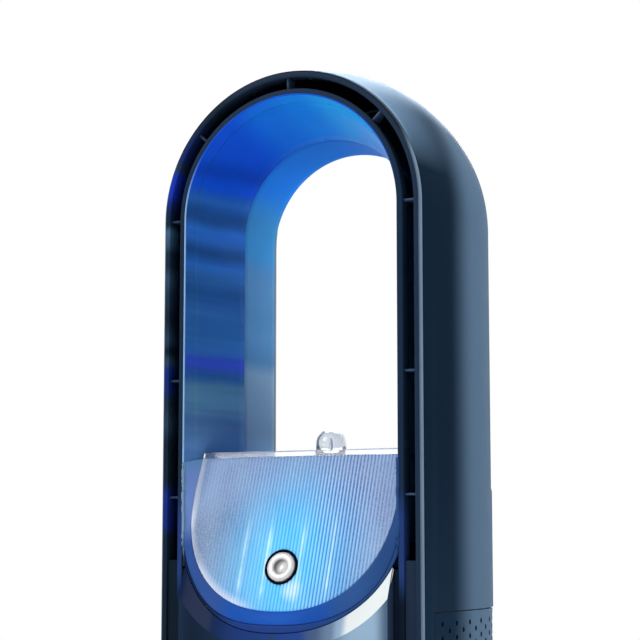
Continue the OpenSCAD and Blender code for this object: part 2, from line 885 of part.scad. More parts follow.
gear_gap = gear_m*(gear_teeth + pinion_teeth)/2 + 0.2;    // centre distance
gear_z = pad_h + 8;
gear_h = 8;
module turntable_plate() {
    lobe = cover_w - wall - 1;
    color("#3a3f46")
        difference() {
            translate([0, 0, plate_z])
                linear_extrude(plate_t)
                    translate([0, y0])
                        polygon(concat(plan(chassis_front, wall + fit), [[-lobe + 4, chassis_front]],
                            [for (i = [0:32]) let (x = -lobe*(1 - i/16)) [x, front_u(x) + wall + 1]],
                            [[lobe - 4, chassis_front]]));
            translate([0, 0, plate_z - 1])
                cylinder(r = spindle_r + run_fit, h = plate_t + 2, $fn = fine);
            translate([0, -gear_gap, plate_z - 1])
                cylinder(r = shaft_r + run_fit, h = plate_t + 2, $fn = fine);
            post_screw(screw_r + 0.1, 1);
        }
}

osc_r = 18;                                     // radius of the oscillating motor
osc_h = 20;
osc_offset = 3;                                 // how far its output lies off its middle
module osc_motor() {
    color("#a8adb2")
        translate([0, -gear_gap - osc_offset, plate_top])
            difference() {
                union() {
                    cylinder(r = osc_r, h = osc_h, $fn = fine);
                    for (s = [-1, 1])
                        translate([s*osc_r - 8, -5, 0]) cube([16, 10, 2.5]);
                }
                translate([0, osc_offset, -1]) cylinder(r = shaft_r + run_fit, h = 12, $fn = fine);
            }
}

// Involute outline of a gear with n teeth, thinned by b at the pitch line
function inv_angle(a) = tan(a)*180/PI - a;
function tooth_half(n, rb, rp, r, b) = let (ap = acos(rb/rp), a = acos(min(1, rb/r)))
    90/n - b/rp*90/PI + inv_angle(ap) - inv_angle(a);
function gear_points(n, m, b) = let (
        rp = n*m/2, rb = rp*cos(20), ra = rp + 0.9*m, rf = rp - 1.2*m, rs = max(rb, rf + 0.05),
        radii = [for (i = [0:3]) rs + (ra - rs)*i/3])
    [for (k = [0:n - 1]) let (c = 360*k/n) each concat(
        [[rf*cos(c - tooth_half(n, rb, rp, rs, b)), rf*sin(c - tooth_half(n, rb, rp, rs, b))]],
        [for (r = radii) let (t = tooth_half(n, rb, rp, r, b)) [r*cos(c - t), r*sin(c - t)]],
        [for (i = [3:-1:0]) let (r = radii[i], t = tooth_half(n, rb, rp, r, b))
            [r*cos(c + t), r*sin(c + t)]],
        [[rf*cos(c + tooth_half(n, rb, rp, rs, b)), rf*sin(c + tooth_half(n, rb, rp, rs, b))]])];

backlash = 0.25;
module osc_pinion() {
    color("#e8e4d8")
        translate([0, -gear_gap, 0]) {
            translate([0, 0, gear_z])
                rotate([0, 0, 90 + 180/pinion_teeth])
                    linear_extrude(gear_h)
                        polygon(gear_points(pinion_teeth, gear_m, backlash));
            translate([0, 0, gear_z + gear_h - 1])
                cylinder(r = shaft_r, h = plate_top + 9 - gear_z - gear_h, $fn = fine);
        }
}

module foot_gear() {
    color("#e8e4d8")
        translate([0, 0, gear_z])
            difference() {
                rotate([0, 0, -90])
                    linear_extrude(gear_h)
                        polygon(gear_points(gear_teeth, gear_m, backlash));
                translate([0, 0, -1]) cylinder(r = spindle_r + 0.1, h = gear_h + 2, $fn = fine);
            }
}

retainer_z = plate_top + fit;
module pivot_retainer() {
    color("#c0c4c8")
        translate([0, 0, retainer_z])
            difference() {
                cylinder(r = spindle_r + 4, h = 2.5, $fn = fine);
                translate([0, 0, -1]) cylinder(r = spindle_r - 1.5 + run_fit, h = 5, $fn = fine);
            }
}

slip_r = foot_r - 18;                           // outer radius of the sliding ring
module slip_ring() {
    color("#f4f2ea")
        translate([0, 0, foot_top])
            difference() {
                cylinder(r = slip_r, h = plate_z - foot_top - fit, $fn = 2*fine);
                translate([0, 0, -1]) cylinder(r = slip_r - 20, h = 10, $fn = 2*fine);
            }
}

floor_t = 3;
module foot_pan() {
    boss_r = spindle_r + 6;
    color("#24313f")
        difference() {
            union() {
                difference() {
                    translate([0, 0, pad_h]) cylinder(r1 = foot_r - 2, r2 = foot_r, h = 2, $fn = 2*fine);
                    translate([0, 0, pad_h + 2]) cylinder(r = foot_r - wall, h = 1, $fn = 2*fine);
                }
                difference() {
                    translate([0, 0, pad_h + 2])
                        cylinder(r = foot_r, h = foot_h - 2 - cover_t, $fn = 2*fine);
                    translate([0, 0, pad_h + floor_t])
                        cylinder(r = foot_r - wall, h = foot_h, $fn = 2*fine);
                }
                translate([0, 0, pad_h + floor_t - 1])
                    cylinder(r = boss_r, h = gear_z - pad_h - floor_t + 1, $fn = fine);
                translate([0, 0, pad_h + floor_t - 1])
                    cylinder(r = spindle_r, h = plate_top + fit - pad_h - floor_t + 1, $fn = fine);
                translate([0, 0, plate_top])
                    cylinder(r = spindle_r - 1.5, h = 8, $fn = fine);
            }
            translate([0, 0, -1]) cylinder(r = 9, h = 60, $fn = fine);
            inlet_cut(fit);
        }
}

cover_t = 3;
module foot_cover() {
    color("#24313f")
        translate([0, 0, foot_top - cover_t])
            difference() {
                union() {
                    cylinder(r = foot_r, h = cover_t - 1, $fn = 2*fine);
                    translate([0, 0, cover_t - 1])
                        cylinder(r1 = foot_r, r2 = foot_r - 1, h = 1, $fn = 2*fine);
                }
                translate([0, 0, -1])
                    cylinder(r = gear_gap + gear_m*pinion_teeth/2 + 5, h = 10, $fn = 2*fine);
            }
}

inlet_w = 22;
inlet_h = 12;
inlet_d = 14;
ballast_out = foot_r - inlet_d - 6;
ballast_in = gear_gap + gear_m*(pinion_teeth/2 + 1) + 7.5;
module ballast_plate() {
    color("#50555a")
        translate([0, 0, pad_h + floor_t])
            difference() {
                cylinder(r = ballast_out, h = 12, $fn = 2*fine);
                translate([0, 0, -1]) cylinder(r = ballast_in, h = 14, $fn = 2*fine);
            }
}

pad_n = 6;
pad_ring = foot_r - 16;
module rubber_feet() {
    color("#15171a")
        for (i = [0:pad_n - 1])
            rotate([0, 0, 360*i/pad_n - 90])
                translate([pad_ring, 0, 0]) cylinder(r = pad_r, h = pad_h, $fn = 48);
}

module foot_screws() {
    color("#b0b4b8")
        for (i = [0:2])
            rotate([0, 0, 120*i + 30])
                translate([foot_r - 11, 0, pad_h + floor_t]) {
                    cylinder(r = 2*screw_r, h = 2, $fn = 24);
                    cylinder(r = screw_r, h = foot_h - floor_t - cover_t, $fn = 24);
                }
}

module inlet_cut(g) {
    translate([-inlet_w/2 - g, foot_r - inlet_d - g, pad_h + floor_t + 1 - g])
        cube([inlet_w + 2*g, inlet_d + 10, inlet_h + 2*g]);
}
module mains_inlet() {
    color("#101214")
        difference() {
            intersection() {
                inlet_cut(0);
                cylinder(r = foot_r - 0.4, h = 40, $fn = 2*fine);
            }
            for (s = [-1, 1])
                translate([s*4, foot_r - 9, pad_h + floor_t + 1 + inlet_h/2])
                    rotate([-90, 0, 0]) cylinder(r = 3.4, h = 20, $fn = 32);
            translate([-4, foot_r - 9, pad_h + floor_t + 1 + inlet_h/2 - 3.4]) cube([8, 20, 6.8]);
        }
}

outer_shell();
edge_trim();
outer_rim();
inner_rim();
slot_ribs();
slot_fillers();
flare_liner();
throat_liner();
rear_ring();
rear_sill();
rear_panel();
opening_deck();
panel_surround();
ribbed_panel();
panel_strip();
clear_dome();
dome_stem();
light_box();
light_board();
led_chips();
silver_button();
button_gasket();
button_housing();
button_spring();
button_switch();
front_cover();
left_grille();
right_grille();
left_filter();
right_filter();
skirt();
chassis();
chassis_screws();
blower_housing();
air_splitter();
stator_vanes();
motor_isolators();
motor_can();
motor_winding();
motor_bearings();
rotor_shaft();
rotor_core();
impeller();
control_board();
turntable_plate();
osc_motor();
osc_pinion();
pivot_retainer();
slip_ring();
foot_pan();
foot_cover();
foot_gear();
ballast_plate();
rubber_feet();
foot_screws();
mains_inlet();
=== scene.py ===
"""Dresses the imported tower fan: mouldings, ribbed lit panel, perforated grilles and finishes."""
import math
from functools import partial

import bmesh
import bpy
import numpy as np
from mathutils import Matrix, Vector


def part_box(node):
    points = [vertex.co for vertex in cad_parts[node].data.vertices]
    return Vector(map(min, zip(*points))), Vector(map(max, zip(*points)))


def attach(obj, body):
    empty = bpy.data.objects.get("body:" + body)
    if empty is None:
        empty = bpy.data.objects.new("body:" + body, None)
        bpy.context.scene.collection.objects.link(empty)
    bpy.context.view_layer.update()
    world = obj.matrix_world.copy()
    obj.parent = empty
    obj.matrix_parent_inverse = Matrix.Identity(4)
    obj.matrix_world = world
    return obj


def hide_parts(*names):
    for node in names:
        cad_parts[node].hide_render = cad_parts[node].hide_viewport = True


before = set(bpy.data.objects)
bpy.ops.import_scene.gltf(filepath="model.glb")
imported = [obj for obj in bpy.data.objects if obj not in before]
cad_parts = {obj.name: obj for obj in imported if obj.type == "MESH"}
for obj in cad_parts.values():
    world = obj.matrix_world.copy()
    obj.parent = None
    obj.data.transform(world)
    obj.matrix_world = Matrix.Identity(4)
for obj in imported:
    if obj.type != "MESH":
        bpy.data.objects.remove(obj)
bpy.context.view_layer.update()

bl_info = {
    "name": "Tower fan dressing",
    "version": (1, 0, 0),
    "blender": (4, 5, 0),
    "location": "View3D > Sidebar > Tower fan",
    "description": "Builds the visible mouldings and finishes of a bladeless tower fan",
    "category": "Object",
}

MM = 0.001

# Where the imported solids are, in metres
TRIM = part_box("edge_trim")
Y0 = TRIM[0][1]                                 # front plane of the loop
HALF = TRIM[1][0]                               # half width of the loop
ARCH_Z = TRIM[1][2] - HALF                      # height of the arch's centre
LOW = TRIM[0][2]                                # lower edge of the column
LOOP_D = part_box("rear_ring")[1][1] - Y0         # depth of the loop
SEAM_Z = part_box("right_grille")[1][2] + 0.3 * MM
SKIRT_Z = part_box("skirt")[1][2]
BACK_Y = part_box("skirt")[1][1]
DECK_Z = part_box("opening_deck")[1][2]

# The loop. A depth is measured back from its front plane
RIM_W = 5.2 * MM                                # inner rim
INNER_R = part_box("inner_rim")[1][0] - RIM_W     # half width of the opening's mouth
SLOT_IN = INNER_R + RIM_W
SLOT_OUT = SLOT_IN + 10 * MM
CREASE_R = INNER_R - 16 * MM                    # half width of the throat
RIM_D = 12.2 * MM                               # depth of the inner rim
FLARE_D = 76.6 * MM                             # depth of the crease
FLARE_SINK = 8 * MM                             # drop of the crease's arch
REAR_D = 132.6 * MM                             # depth of the throat's end
REAR_SINK = 2.6 * MM                            # further drop of that end's arch
SHELL_END = 176 * MM
STRIP_D = 25 * MM                               # depth of the column's front strips
TAPER, TAPER_POWER = 12 * MM, 3.6               # narrowing of each side towards the back
TIP_W = HALF - TAPER
BACK_R = BACK_Y - Y0 - LOOP_D                   # bulge of the column's back
CROWN_RISE, CROWN_AT = 18 * MM, 125 * MM        # height and depth of the crown's top
CROWN_FALL, CROWN_GAP = 12 * MM, 0.08 * MM
WALL, GAP = 3 * MM, 0.2 * MM
REAR_SLOPE = (TIP_W - CREASE_R) / (LOOP_D - REAR_D)
BACK_WALL = 2.8 * MM                            # thickness of the skirt and the rear panel
# Steps of the shell's sweep, and places of the slot's webs: turned round the arch, or down the
# legs, both from its centre, in millimetres and degrees
SHELL_DEPTHS = (5.6, 9, *range(15, 146, 10), 152, 158, 164, 168, 172, 174, SHELL_END / MM)
WEB_ANGLES, WEB_DROPS = (0.8, 42.5, 91, 139.8, 179.8), (137.5, 236.5)
ARC = 112                                       # steps round the arch
LOFT = 160                                      # steps across the cover and the surround
PLAN_SIDE, PLAN_BACK = 120, 160                 # steps along the column's side and half its back

# The lit panel and the cover. Across, up from the panel's foot, and out of its face
LEAN = math.radians(19.3)
PANEL_DROP, PANEL_FWD = 329.3 * MM, 22 * MM     # its foot, below the arch's centre and forward
PANEL_L, PANEL_W = 133.8 * MM, 95.2 * MM        # length and half width
PANEL_H, PANEL_POWER = 104 * MM, 2.3            # height and fullness of its rounded lower part
PANEL_DRAW = 0.018                              # share by which it narrows above that part
PANEL_EDGE = 7 * MM                             # width of its brighter edge
RIB_QUIET, QUIET_FROM, QUIET_OVER = 0.75, 58 * MM, 16 * MM      # ribs flatten towards its sides
BUTTON_UP, BUTTON_HOLE = 37 * MM, 13.8 * MM     # place of the button, radius of its hole
BEND = 0.78                                     # share of a U-shaped outline that is rounded
BULGE = 26 * MM                                 # of the cover, at its middle
COVER_BEVEL = 12.5                              # width of its bevel, in millimetres
COVER_SIDE, COVER_PROUD = 95.5 * MM, 12 * MM    # half width, and how proud its sides stand
COVER_ROWS = (0, 0.01, 0.03, 0.06, 0.1, 0.16, 0.24, 0.34, 0.46, 0.6, 0.75, 0.9, 1)
PANEL_FRAME = (Matrix.Translation((0, Y0 - PANEL_FWD, ARCH_Z - PANEL_DROP))
               @ Matrix.Rotation(math.pi / 2 - LEAN, 4, "X"))
LIP = dict(w=102 * MM, h=108 * MM, n=2.6, bottom=ARCH_Z - 340.4 * MM, top=DECK_Z - 4 * MM)
BAND = dict(w=107.5 * MM, h=116 * MM, n=2.3, bottom=ARCH_Z - 346.3 * MM, top=DECK_Z - 4 * MM)

# The stage: lamps as name, place, size and power
LAMPS = (("key", (-1.3, -2.0, 2.1), 1.4, 26), ("side", (1.9, 0.9, 1.3), 1.3, 34),
         ("crown", (0.3, 0.3, 2.4), 1.0, 16), ("rim", (-0.94, 2.1, 1.95), 1.1, 26))
LAMP_TARGET = (0, 0, 0.6)
CAMERA_PLACE, CAMERA_TARGET = (0.7111, -1.4359, 0.4654), (0.0302, -0.092, 0.6509)
FOCAL_LENGTH, SENSOR = 103.9, 36


def half_w(u):
    """Half width of the loop at a depth."""
    return HALF - TAPER * (max(0.0, u - STRIP_D) / (LOOP_D - STRIP_D)) ** TAPER_POWER


def crown_h(u):
    """Height of the loop's crown over the arch's centre at a depth."""
    return (HALF + CROWN_RISE * math.sin(math.pi / 2 * min(1, u / CROWN_AT))
            - CROWN_FALL * (u / LOOP_D) ** 4 - CROWN_GAP)


def open_r(u):
    """Half width of the opening at a depth."""
    return INNER_R - (INNER_R - CREASE_R) * min(1, u / FLARE_D)


def open_sink(u):
    """Height of the opening's arch centre at a depth, at 0 or below."""
    return (-FLARE_SINK * min(1, u / FLARE_D)
            - REAR_SINK * max(0, u - FLARE_D) / (REAR_D - FLARE_D))


def cover_y(x):
    """Where the bulge under the surround stands."""
    return Y0 - BULGE * (1 - min(1, abs(x) / INNER_R) ** 2)


def cover_front(x):
    """Where the front cover stands, proud of the loop at its sides."""
    return Y0 - BULGE + (BULGE - COVER_PROUD) * (x / COVER_SIDE) ** 2


# ---------------------------------------------------------------- settings

def size_prop(name, description, default):
    return bpy.props.FloatProperty(name=name, description=description, default=default * MM,
                                   min=0, unit="LENGTH", subtype="DISTANCE", precision=5)


def to_linear(c):
    return c / 12.92 if c <= 0.04045 else ((c + 0.055) / 1.055) ** 2.4


def colour_prop(key, hexa, description):
    value = tuple(to_linear(int(hexa[i:i + 2], 16) / 255) for i in (0, 2, 4))
    return bpy.props.FloatVectorProperty(name=key.replace("_", " ").capitalize(),
                                         description=description, default=value,
                                         size=3, min=0, max=1, subtype="COLOR")


class FanSizes(bpy.types.PropertyGroup):
    """Sizes of the detail that the solids leave out"""
    edge_round: size_prop("Edge rounding", "Rounding of the moulded edges", 0.3)
    rib_pitch: size_prop("Rib pitch", "Spacing of the ribs on the lit panel", 3.1)
    rib_depth: size_prop("Rib depth", "Height of the ribs on the lit panel", 0.6)
    hole_r: size_prop("Hole radius", "Radius of the intake holes", 2.1)
    hole_start: size_prop("Hole margin", "From a grille's front edge to its first holes", 15.6)
    hole_across: size_prop("Hole columns", "Spacing of the columns of intake holes", 15)
    hole_up: size_prop("Hole rows", "Spacing of the holes in one column", 11.4)
    dimple_r: size_prop("Dimple radius", "Radius of the dimple in the button", 6.4)
    groove: size_prop("Groove depth", "Depth of the parting grooves", 0.8)


class FanColours(bpy.types.PropertyGroup):
    """Colours of the finishes"""
    __annotations__ = {key: colour_prop(key, hexa, description) for key, hexa, description in (
        ("shell_front", "031627", "Metallic paint near the front of the sides"),
        ("shell_low", "0c2033", "Metallic paint beside the cover"),
        # Paler towards the rear as a painted reflection
        ("shell_rear", "43596e", "Metallic paint at the rear of the sides"),
        # Painted highlight over the crown
        ("crown_highlight", "6f90ae", "Metallic paint over the crown"),
        # Trim: bright on the legs as a painted highlight, dark over the crown
        ("trim", "5d7084", "Bright line on the outer corner"),
        ("trim_top", "101c2a", "That line over the crown"),
        # Outer rim: its left leg a shaded copy of the right, with painted glints and painted
        # reflections
        ("rim_glint", "1c38b4", "Deep blue glints on the outer rim's left leg"),
        ("rim", "24344a", "Glossy outer rim on its right leg"),
        ("rim_left", "182838", "Glossy outer rim on its left leg"),
        ("inner", "1d3048", "Glossy inner rim"),
        ("inner_low", "111e2f", "Glossy inner rim beside the cover"),
        # Painted light from the lit panel on the inner rim
        ("inner_lit", "27407a", "Inner rim beside the lit panel"),
        # Painted highlight on the corner of the opening's legs
        ("edge", "a4cef2", "Bright corner of the opening's legs"),
        ("flank", "2c3c55", "Side walls of the front cover"),
        # The left strip is a shaded copy of the right one: painted shade
        ("filler", "25344a", "Strip that closes the right slot's end"),
        ("filler_left", "152230", "Strip that closes the left slot's end"),
        # Flared wall: its tones are painted light of the fan's blue glow, with painted shade in
        # its darker bands
        ("flare_edge", "3f96cc", "Right end of the flared wall"),
        ("flare_bright", "30acf8", "Flared wall where it is lit most"),
        ("flare_clear", "1c8cf0", "Flared wall at the middle of the crown"),
        ("flare_deep", "165ae0", "Flared wall in its deep blue parts"),
        ("flare_azure", "3780da", "Level bands of clear light on it"),
        ("flare_violet", "3a55cc", "Level band of violet light on it"),
        ("flare_grey", "3570b4", "Flared wall in its quiet parts"),
        ("flare_dusk", "265a98", "Flared wall in its dark bands"),
        ("flare_pale", "5c8fb4", "Flared wall over its lower end"),
        ("flare_low", "486c96", "Flared wall at its lower end"),
        # Throat: its tones are painted light of the fan's blue glow
        ("throat_top", "2c8af0", "Throat at the crown"),
        ("throat_mid", "4698d0", "Throat where the arch springs"),
        ("throat_side", "6096c4", "Throat along the legs"),
        ("throat_low", "7896b0", "Throat at its lower end"),
        ("deck", "3d74ac", "Deck at the foot of the opening"),
        ("glow", "4cbcf0", "Ribbed panel where it is lit most"),
        ("glow_edge", "7e9ac8", "Ribbed panel towards its sides"),
        ("glow_low", "5c8cc8", "Ribbed panel towards its lower sides"),
        # Painted shade in the grooves between the panel's ribs
        ("rib_line", "1a5cb4", "Dark lines between the panel's ribs"),
        # Surround: painted light from the panel, pale up its left side, with painted shade at its
        # lower left
        ("lip", "2560c6", "Surround under the panel"),
        ("lip_left", "88a6e4", "Surround left of the panel"),
        ("lip_shade", "35589e", "Surround at its lower left"),
        ("lip_right", "30548e", "Surround right of the panel"),
        # Outer band: night blue on its left as painted shade
        ("lip_dark", "27468e", "Outer band of the surround, in the middle"),
        ("lip_night", "13264a", "Outer band of the surround, on the left"),
        ("cover_dark", "14243a", "Front cover on its dark side"),
        ("cover_mid", "2a4272", "Front cover in the middle"),
        # Painted reflection on the cover's right side
        ("cover_pale", "a0bed8", "Front cover on its pale side"),
        ("cover_end", "58708a", "Front cover at its right corner"),
        # Painted reflection on the cover's bevel at its right end
        ("accent", "f8ffff", "Cover's polished bevel at its right end"),
        ("silver", "d6d4d4", "Satin button"),
        ("rubber", "050713", "Gasket and pads"),
        ("foot", "1b2734", "Moulded foot"))}


# ---------------------------------------------------------------- finishes

# Where millimetres in a finish are measured from
START = {"X": 0, "Y": Y0, "Z": ARCH_Z}
ACROSS = (-100, 100)                            # range of the ramps across the fan
UP = (-360, 120)                                # range of the ramps up the opening
WHITE, BLACK = (1, 1, 1), (0, 0, 0)

# Level bands as (height, name, lightness, second name, its share), from the arch's centre: painted
# # reflections as light streaks and painted deep blue glints down the outer rim's left leg
RIM_BANDS = [(z, "rim_left", light, "rim_glint", glint) for z, light, glint in (
    (-270, 1, 0), (-258, 1, 0.35), (-236, 1, 0.45), (-222, 1, 0), (-192, 1, 0), (-174, 2.5, 0),
    (-156, 1.5, 0), (-142, 1, 0.3), (-129, 1, 0.4), (-121, 3, 0), (-112, 0.8, 0), (-103, 2.4, 0),
    (-85, 1, 0), (-67, 1.65, 0), (-49, 3.3, 0), (-37, 1.3, 0), (-28, 1.4, 0), (-18, 4.5, 0),
    (-9, 6, 0), (-2, 1.1, 0), (8, 1, 0.1), (16, 1, 0.4), (23, 1, 1), (38, 1, 1), (46, 2, 0),
    (54, 1, 0.25), (90, 1, 0))]
# Painted light and shade up the flared wall, as bands of the blue glow
FLARE_BANDS = (
    (-195, "flare_low", 1.9), (-172, "flare_low", 1.45), (-158, "flare_pale"),
    (-143, "flare_pale", 0.9), (-133, "flare_grey", 0.8), (-121, "flare_violet"),
    (-108, "flare_grey", 1.15), (-95, "flare_grey"), (-74, "flare_grey"), (-60, "flare_dusk"),
    (-45, "flare_grey"), (-36, "flare_azure", 0.8), (-25, "flare_dusk"), (-8, "flare_azure"),
    (6, "flare_dusk"), (20, "flare_azure", 0.75), (34, "flare_deep"), (46, "flare_deep", 0.62),
    (60, "flare_deep"))
# Painted light up the throat, as bands of the blue glow
THROAT_BANDS = (
    (-198, "throat_low", 1.5), (-175, "throat_low", 1.1), (-145, "throat_low", 1.15),
    (-128, "throat_low", 1.2), (-112, "throat_side", 0.85), (-92, "throat_side"),
    (-72, "throat_side", 0.92), (-40, "throat_side", 0.95), (-15, "throat_mid"),
    (10, "throat_mid", 0.92), (45, "throat_top"), (80, "throat_top", 0.85))
# Painted reflections: upright streaks of light on the panel
STREAKS, STREAK_W = (-37, -15, 16, 43), 3.5     # upright streaks on the panel: x, half width


def shade(colour, k):
    return tuple(min(1, max(0, c * k)) for c in colour)


def tint(name, light=1, other=None, share=0):
    """A named colour, made lighter or darker, then blended with a second one by a share. A number
    in place of the name gives that grey."""
    if not isinstance(name, str):
        return (name,) * 3
    colours = bpy.context.scene.fan_colours
    colour = shade(getattr(colours, name), light)
    if other:
        colour = tuple(a + (b - a) * share for a, b in zip(colour, getattr(colours, other)))
    return colour


class Nodes:
    """Short ways to add nodes to a tree."""

    def __init__(self, tree):
        self.tree = tree

    def fill(self, node, values):
        """Links or sets a node's sockets. A value is a socket, a number, a vector, a colour or a
        colour's name."""
        for key, value in values.items():
            socket = node.inputs[key]
            if isinstance(value, bpy.types.NodeSocket):
                self.tree.links.new(value, socket)
                continue
            if isinstance(value, str):
                value = tint(value)
            socket.default_value = (*value, 1) if socket.type == "RGBA" else value

    def node(self, kind, values=(), **settings):
        node = self.tree.nodes.new("ShaderNode" + kind)
        for key, value in settings.items():
            setattr(node, key, value)
        self.fill(node, dict(values))
        return node

    def remap(self, value, low, high, to_low=0, to_high=1, smooth=False):
        """Moves one range of numbers onto another."""
        return self.node("MapRange", {"Value": value, "From Min": low, "From Max": high,
                                      "To Min": to_low, "To Max": to_high},
                         interpolation_type="SMOOTHSTEP" if smooth else "LINEAR").outputs["Result"]

    def seen_rays(self):
        """1 for rays of the camera, of gloss and through glass."""
        path = self.node("LightPath").outputs
        value = path["Is Camera Ray"]
        for other in ("Is Glossy Ray", "Is Transmission Ray"):
            value = self.node("Math", {0: value, 1: path[other]}, operation="MAXIMUM").outputs[0]
        return value


class Finish(Nodes):
    """A new material, with its shader and its source of coordinates."""

    def __init__(self, name):
        self.material = bpy.data.materials.new(name)
        self.material.use_nodes = True
        super().__init__(self.material.node_tree)
        self.tree.nodes.clear()
        self.shader = self.node("BsdfPrincipled")
        self.out = self.node("OutputMaterial", {"Surface": self.shader.outputs["BSDF"]})
        self.where = self.node("TexCoord").outputs["Object"]

    def noise(self, scale, detail, stretch=(1, 1, 1)):
        """Noise over the piece, with its own stretch along each axis."""
        mapped = self.node("Mapping", {"Scale": stretch, "Vector": self.where}).outputs["Vector"]
        return self.node("TexNoise", {"Scale": scale, "Detail": detail,
                                      "Vector": mapped}).outputs["Fac"]

    def cloud(self, scale, detail):
        """Noise spread out to run from 0 to 1."""
        return self.remap(self.noise(scale, detail), 0.3, 0.7)

    def axis(self, letter, low, high, smooth=True):
        """0 to 1 between two places along an axis."""
        split = self.node("SeparateXYZ", {0: self.where})
        start = START[letter]
        return self.remap(split.outputs[letter], start + low * MM, start + high * MM,
                          smooth=smooth)

    def near(self, centre, low, high):
        """0 to 1 between two distances from a point."""
        far = self.node("VectorMath", {0: self.where, 1: centre}, operation="DISTANCE")
        return self.remap(far.outputs["Value"], low * MM, high * MM, smooth=True)

    def length(self, vector):
        return self.node("VectorMath", {0: vector}, operation="LENGTH").outputs["Value"]

    def blend(self, share, a, b, mode="MIX"):
        """Mixes two colours."""
        return self.node("Mix", {0: share, 6: a, 7: b}, data_type="RGBA",
                         blend_type=mode).outputs[2]

    def times(self, a, b):
        return self.blend(1, a, b, "MULTIPLY")

    def ramp(self, value, low, high, *stops):
        """Colour ramp over a value from 0 to 1. A stop is its place between low and high, and
        what tint takes."""
        node = self.node("ValToRGB", {"Fac": value})
        node.color_ramp.interpolation = "EASE"
        items = node.color_ramp.elements
        while len(items) < len(stops):
            items.new(0.5)
        for item, (place, *colour) in zip(items, stops):
            item.position = (place - low) / (high - low)
            item.color = (*tint(*colour), 1)
        return node.outputs["Color"]

    def along(self, letter, low, high, *stops):
        """Colour ramp along an axis."""
        return self.ramp(self.axis(letter, low, high, False), low, high, *stops)

    def across(self, *stops):
        return self.along("X", *ACROSS, *stops)

    def up(self, ripple, *stops):
        """Colour ramp up the opening, whose bands ripple a little."""
        drift = self.remap(self.noise(14, 2, (1, 1, 0.2)), 0.3, 0.7, -ripple, ripple)
        value = self.node("Math", {0: self.axis("Z", *UP, False), 1: drift}).outputs[0]
        return self.ramp(value, *UP, *stops)

    def relief(self, height, strength, depth):
        bump = self.node("Bump", {"Strength": strength, "Distance": depth, "Height": height})
        self.fill(self.shader, {"Normal": bump.outputs["Normal"]})

    def surface(self, rough, spread=0.06, grain=1400, bump=0.05):
        """Roughness that varies a little, and a fine moulded grain."""
        self.fill(self.shader, {"Roughness": self.remap(self.noise(38, 4), 0.3, 0.7,
                                                        rough - spread, rough + spread)})
        self.relief(self.noise(grain, 2), bump, 0.1 * MM)
        return self.material

    def gloss(self, colour, rough, ior, grain=900, bump=0.02):
        """Colour with a slight cloudiness, on a gloss or satin surface."""
        self.fill(self.shader, {
            "Base Color": self.blend(self.cloud(22, 3), colour,
                                     self.times(colour, (0.9, 0.91, 0.93))),
            "IOR": ior})
        return self.surface(rough, min(0.05, rough / 3), grain, bump)


def moulded(name, colour, rough=0.45, metal=0, ior=1.35, grain=1400, bump=0.06):
    """Plain moulded or machined stuff with slight colour variation and grain."""
    f = Finish(name)
    f.fill(f.shader, {"Base Color": f.blend(f.cloud(22, 3), shade(colour, 0.95),
                                            shade(colour, 1.05)),
                      "Metallic": metal, "IOR": ior})
    return f.surface(rough, grain=grain, bump=bump)


def side_lit(name, left, right, rough, ior):
    """Gloss moulding with painted light and shade: lighter on its right leg, darker on its left.
    """
    f = Finish(name)
    return f.gloss(f.blend(f.axis("X", -60, 60), left, right), rough, ior)


def rim_finish():
    """Gloss outer rim with painted light and shade: its left leg a darker copy of the right, with
    painted reflections as streaks and painted deep blue glints down it.
    """
    f = Finish("rim_gloss")
    return f.gloss(f.blend(f.axis("X", -70, -40), f.up(0.003, *RIM_BANDS), "rim"), 0.28, 1.1)


def trim_finish():
    """Satin line, bright on the legs with a painted highlight and dark over the crown."""
    f = Finish("trim_satin")
    return f.gloss(f.blend(f.axis("Z", 34, 66), "trim", "trim_top"), 0.45, 1.12, 2000, 0.06)


def inner_finish():
    """Gloss inner rim, darker beside the cover and blue with painted light from the lit panel
    beside it.
    """
    f = Finish("inner_gloss")
    return f.gloss(f.along("Z", -350, -150, (-350, "inner_low"), (-326, "inner_low"),
                           (-298, "inner_lit"), (-260, "inner_lit"), (-226, "inner"),
                           (-150, "inner")), 0.24, 1.1)


def edge_finish():
    """Corner of the opening: a painted highlight down the left leg, dark below it and on the right
    leg, blue over the crown.
    """
    f = Finish("edge_gloss")
    legs = f.blend(f.axis("Z", -272, -255), "inner_low", "edge")
    legs = f.blend(f.axis("X", 0, 90), legs, "inner")
    return f.gloss(f.blend(f.axis("Z", 0, 62), legs, "flare_deep"), 0.25, 1.15)


def shell_paint():
    """Metallic paint, deep towards the front, made paler round the rear by a painted reflection,
    with painted highlights over the crown and along its front edge.
    """
    f = Finish("shell_paint")
    # Painted highlight over the crown: only near the front low on the arch, all over it higher up
    rise = f.times(f.axis("Z", 30, 112, False),
                   f.blend(f.axis("Z", 80, 125), f.axis("Y", 90, 4, False), WHITE))
    front = f.blend(f.axis("Z", -160, -400), "shell_front", "shell_low")
    front = f.blend(rise, front, "crown_highlight")
    # Painted reflection: paler towards the rear, with the painted crown highlight over it higher
    # up
    rear = f.blend(f.axis("Z", 78, 135), "shell_rear", "crown_highlight")
    colour = f.blend(f.axis("Y", 61, 119), front, rear)
    # Painted highlight along the crown's front edge
    line = f.times(f.axis("Z", 36, 66), f.axis("Y", 13, 8))
    colour = f.blend(line, colour, f.times(colour, (1.5, 1.45, 1.4)))
    flake = f.remap(f.noise(2600, 1), 0.35, 0.65)
    colour = f.blend(flake, colour, f.times(colour, (1.12, 1.12, 1.14)))
    f.fill(f.shader, {"Base Color": colour, "IOR": 1.035})
    return f.surface(0.36, 0.04, 2200, 0.05)


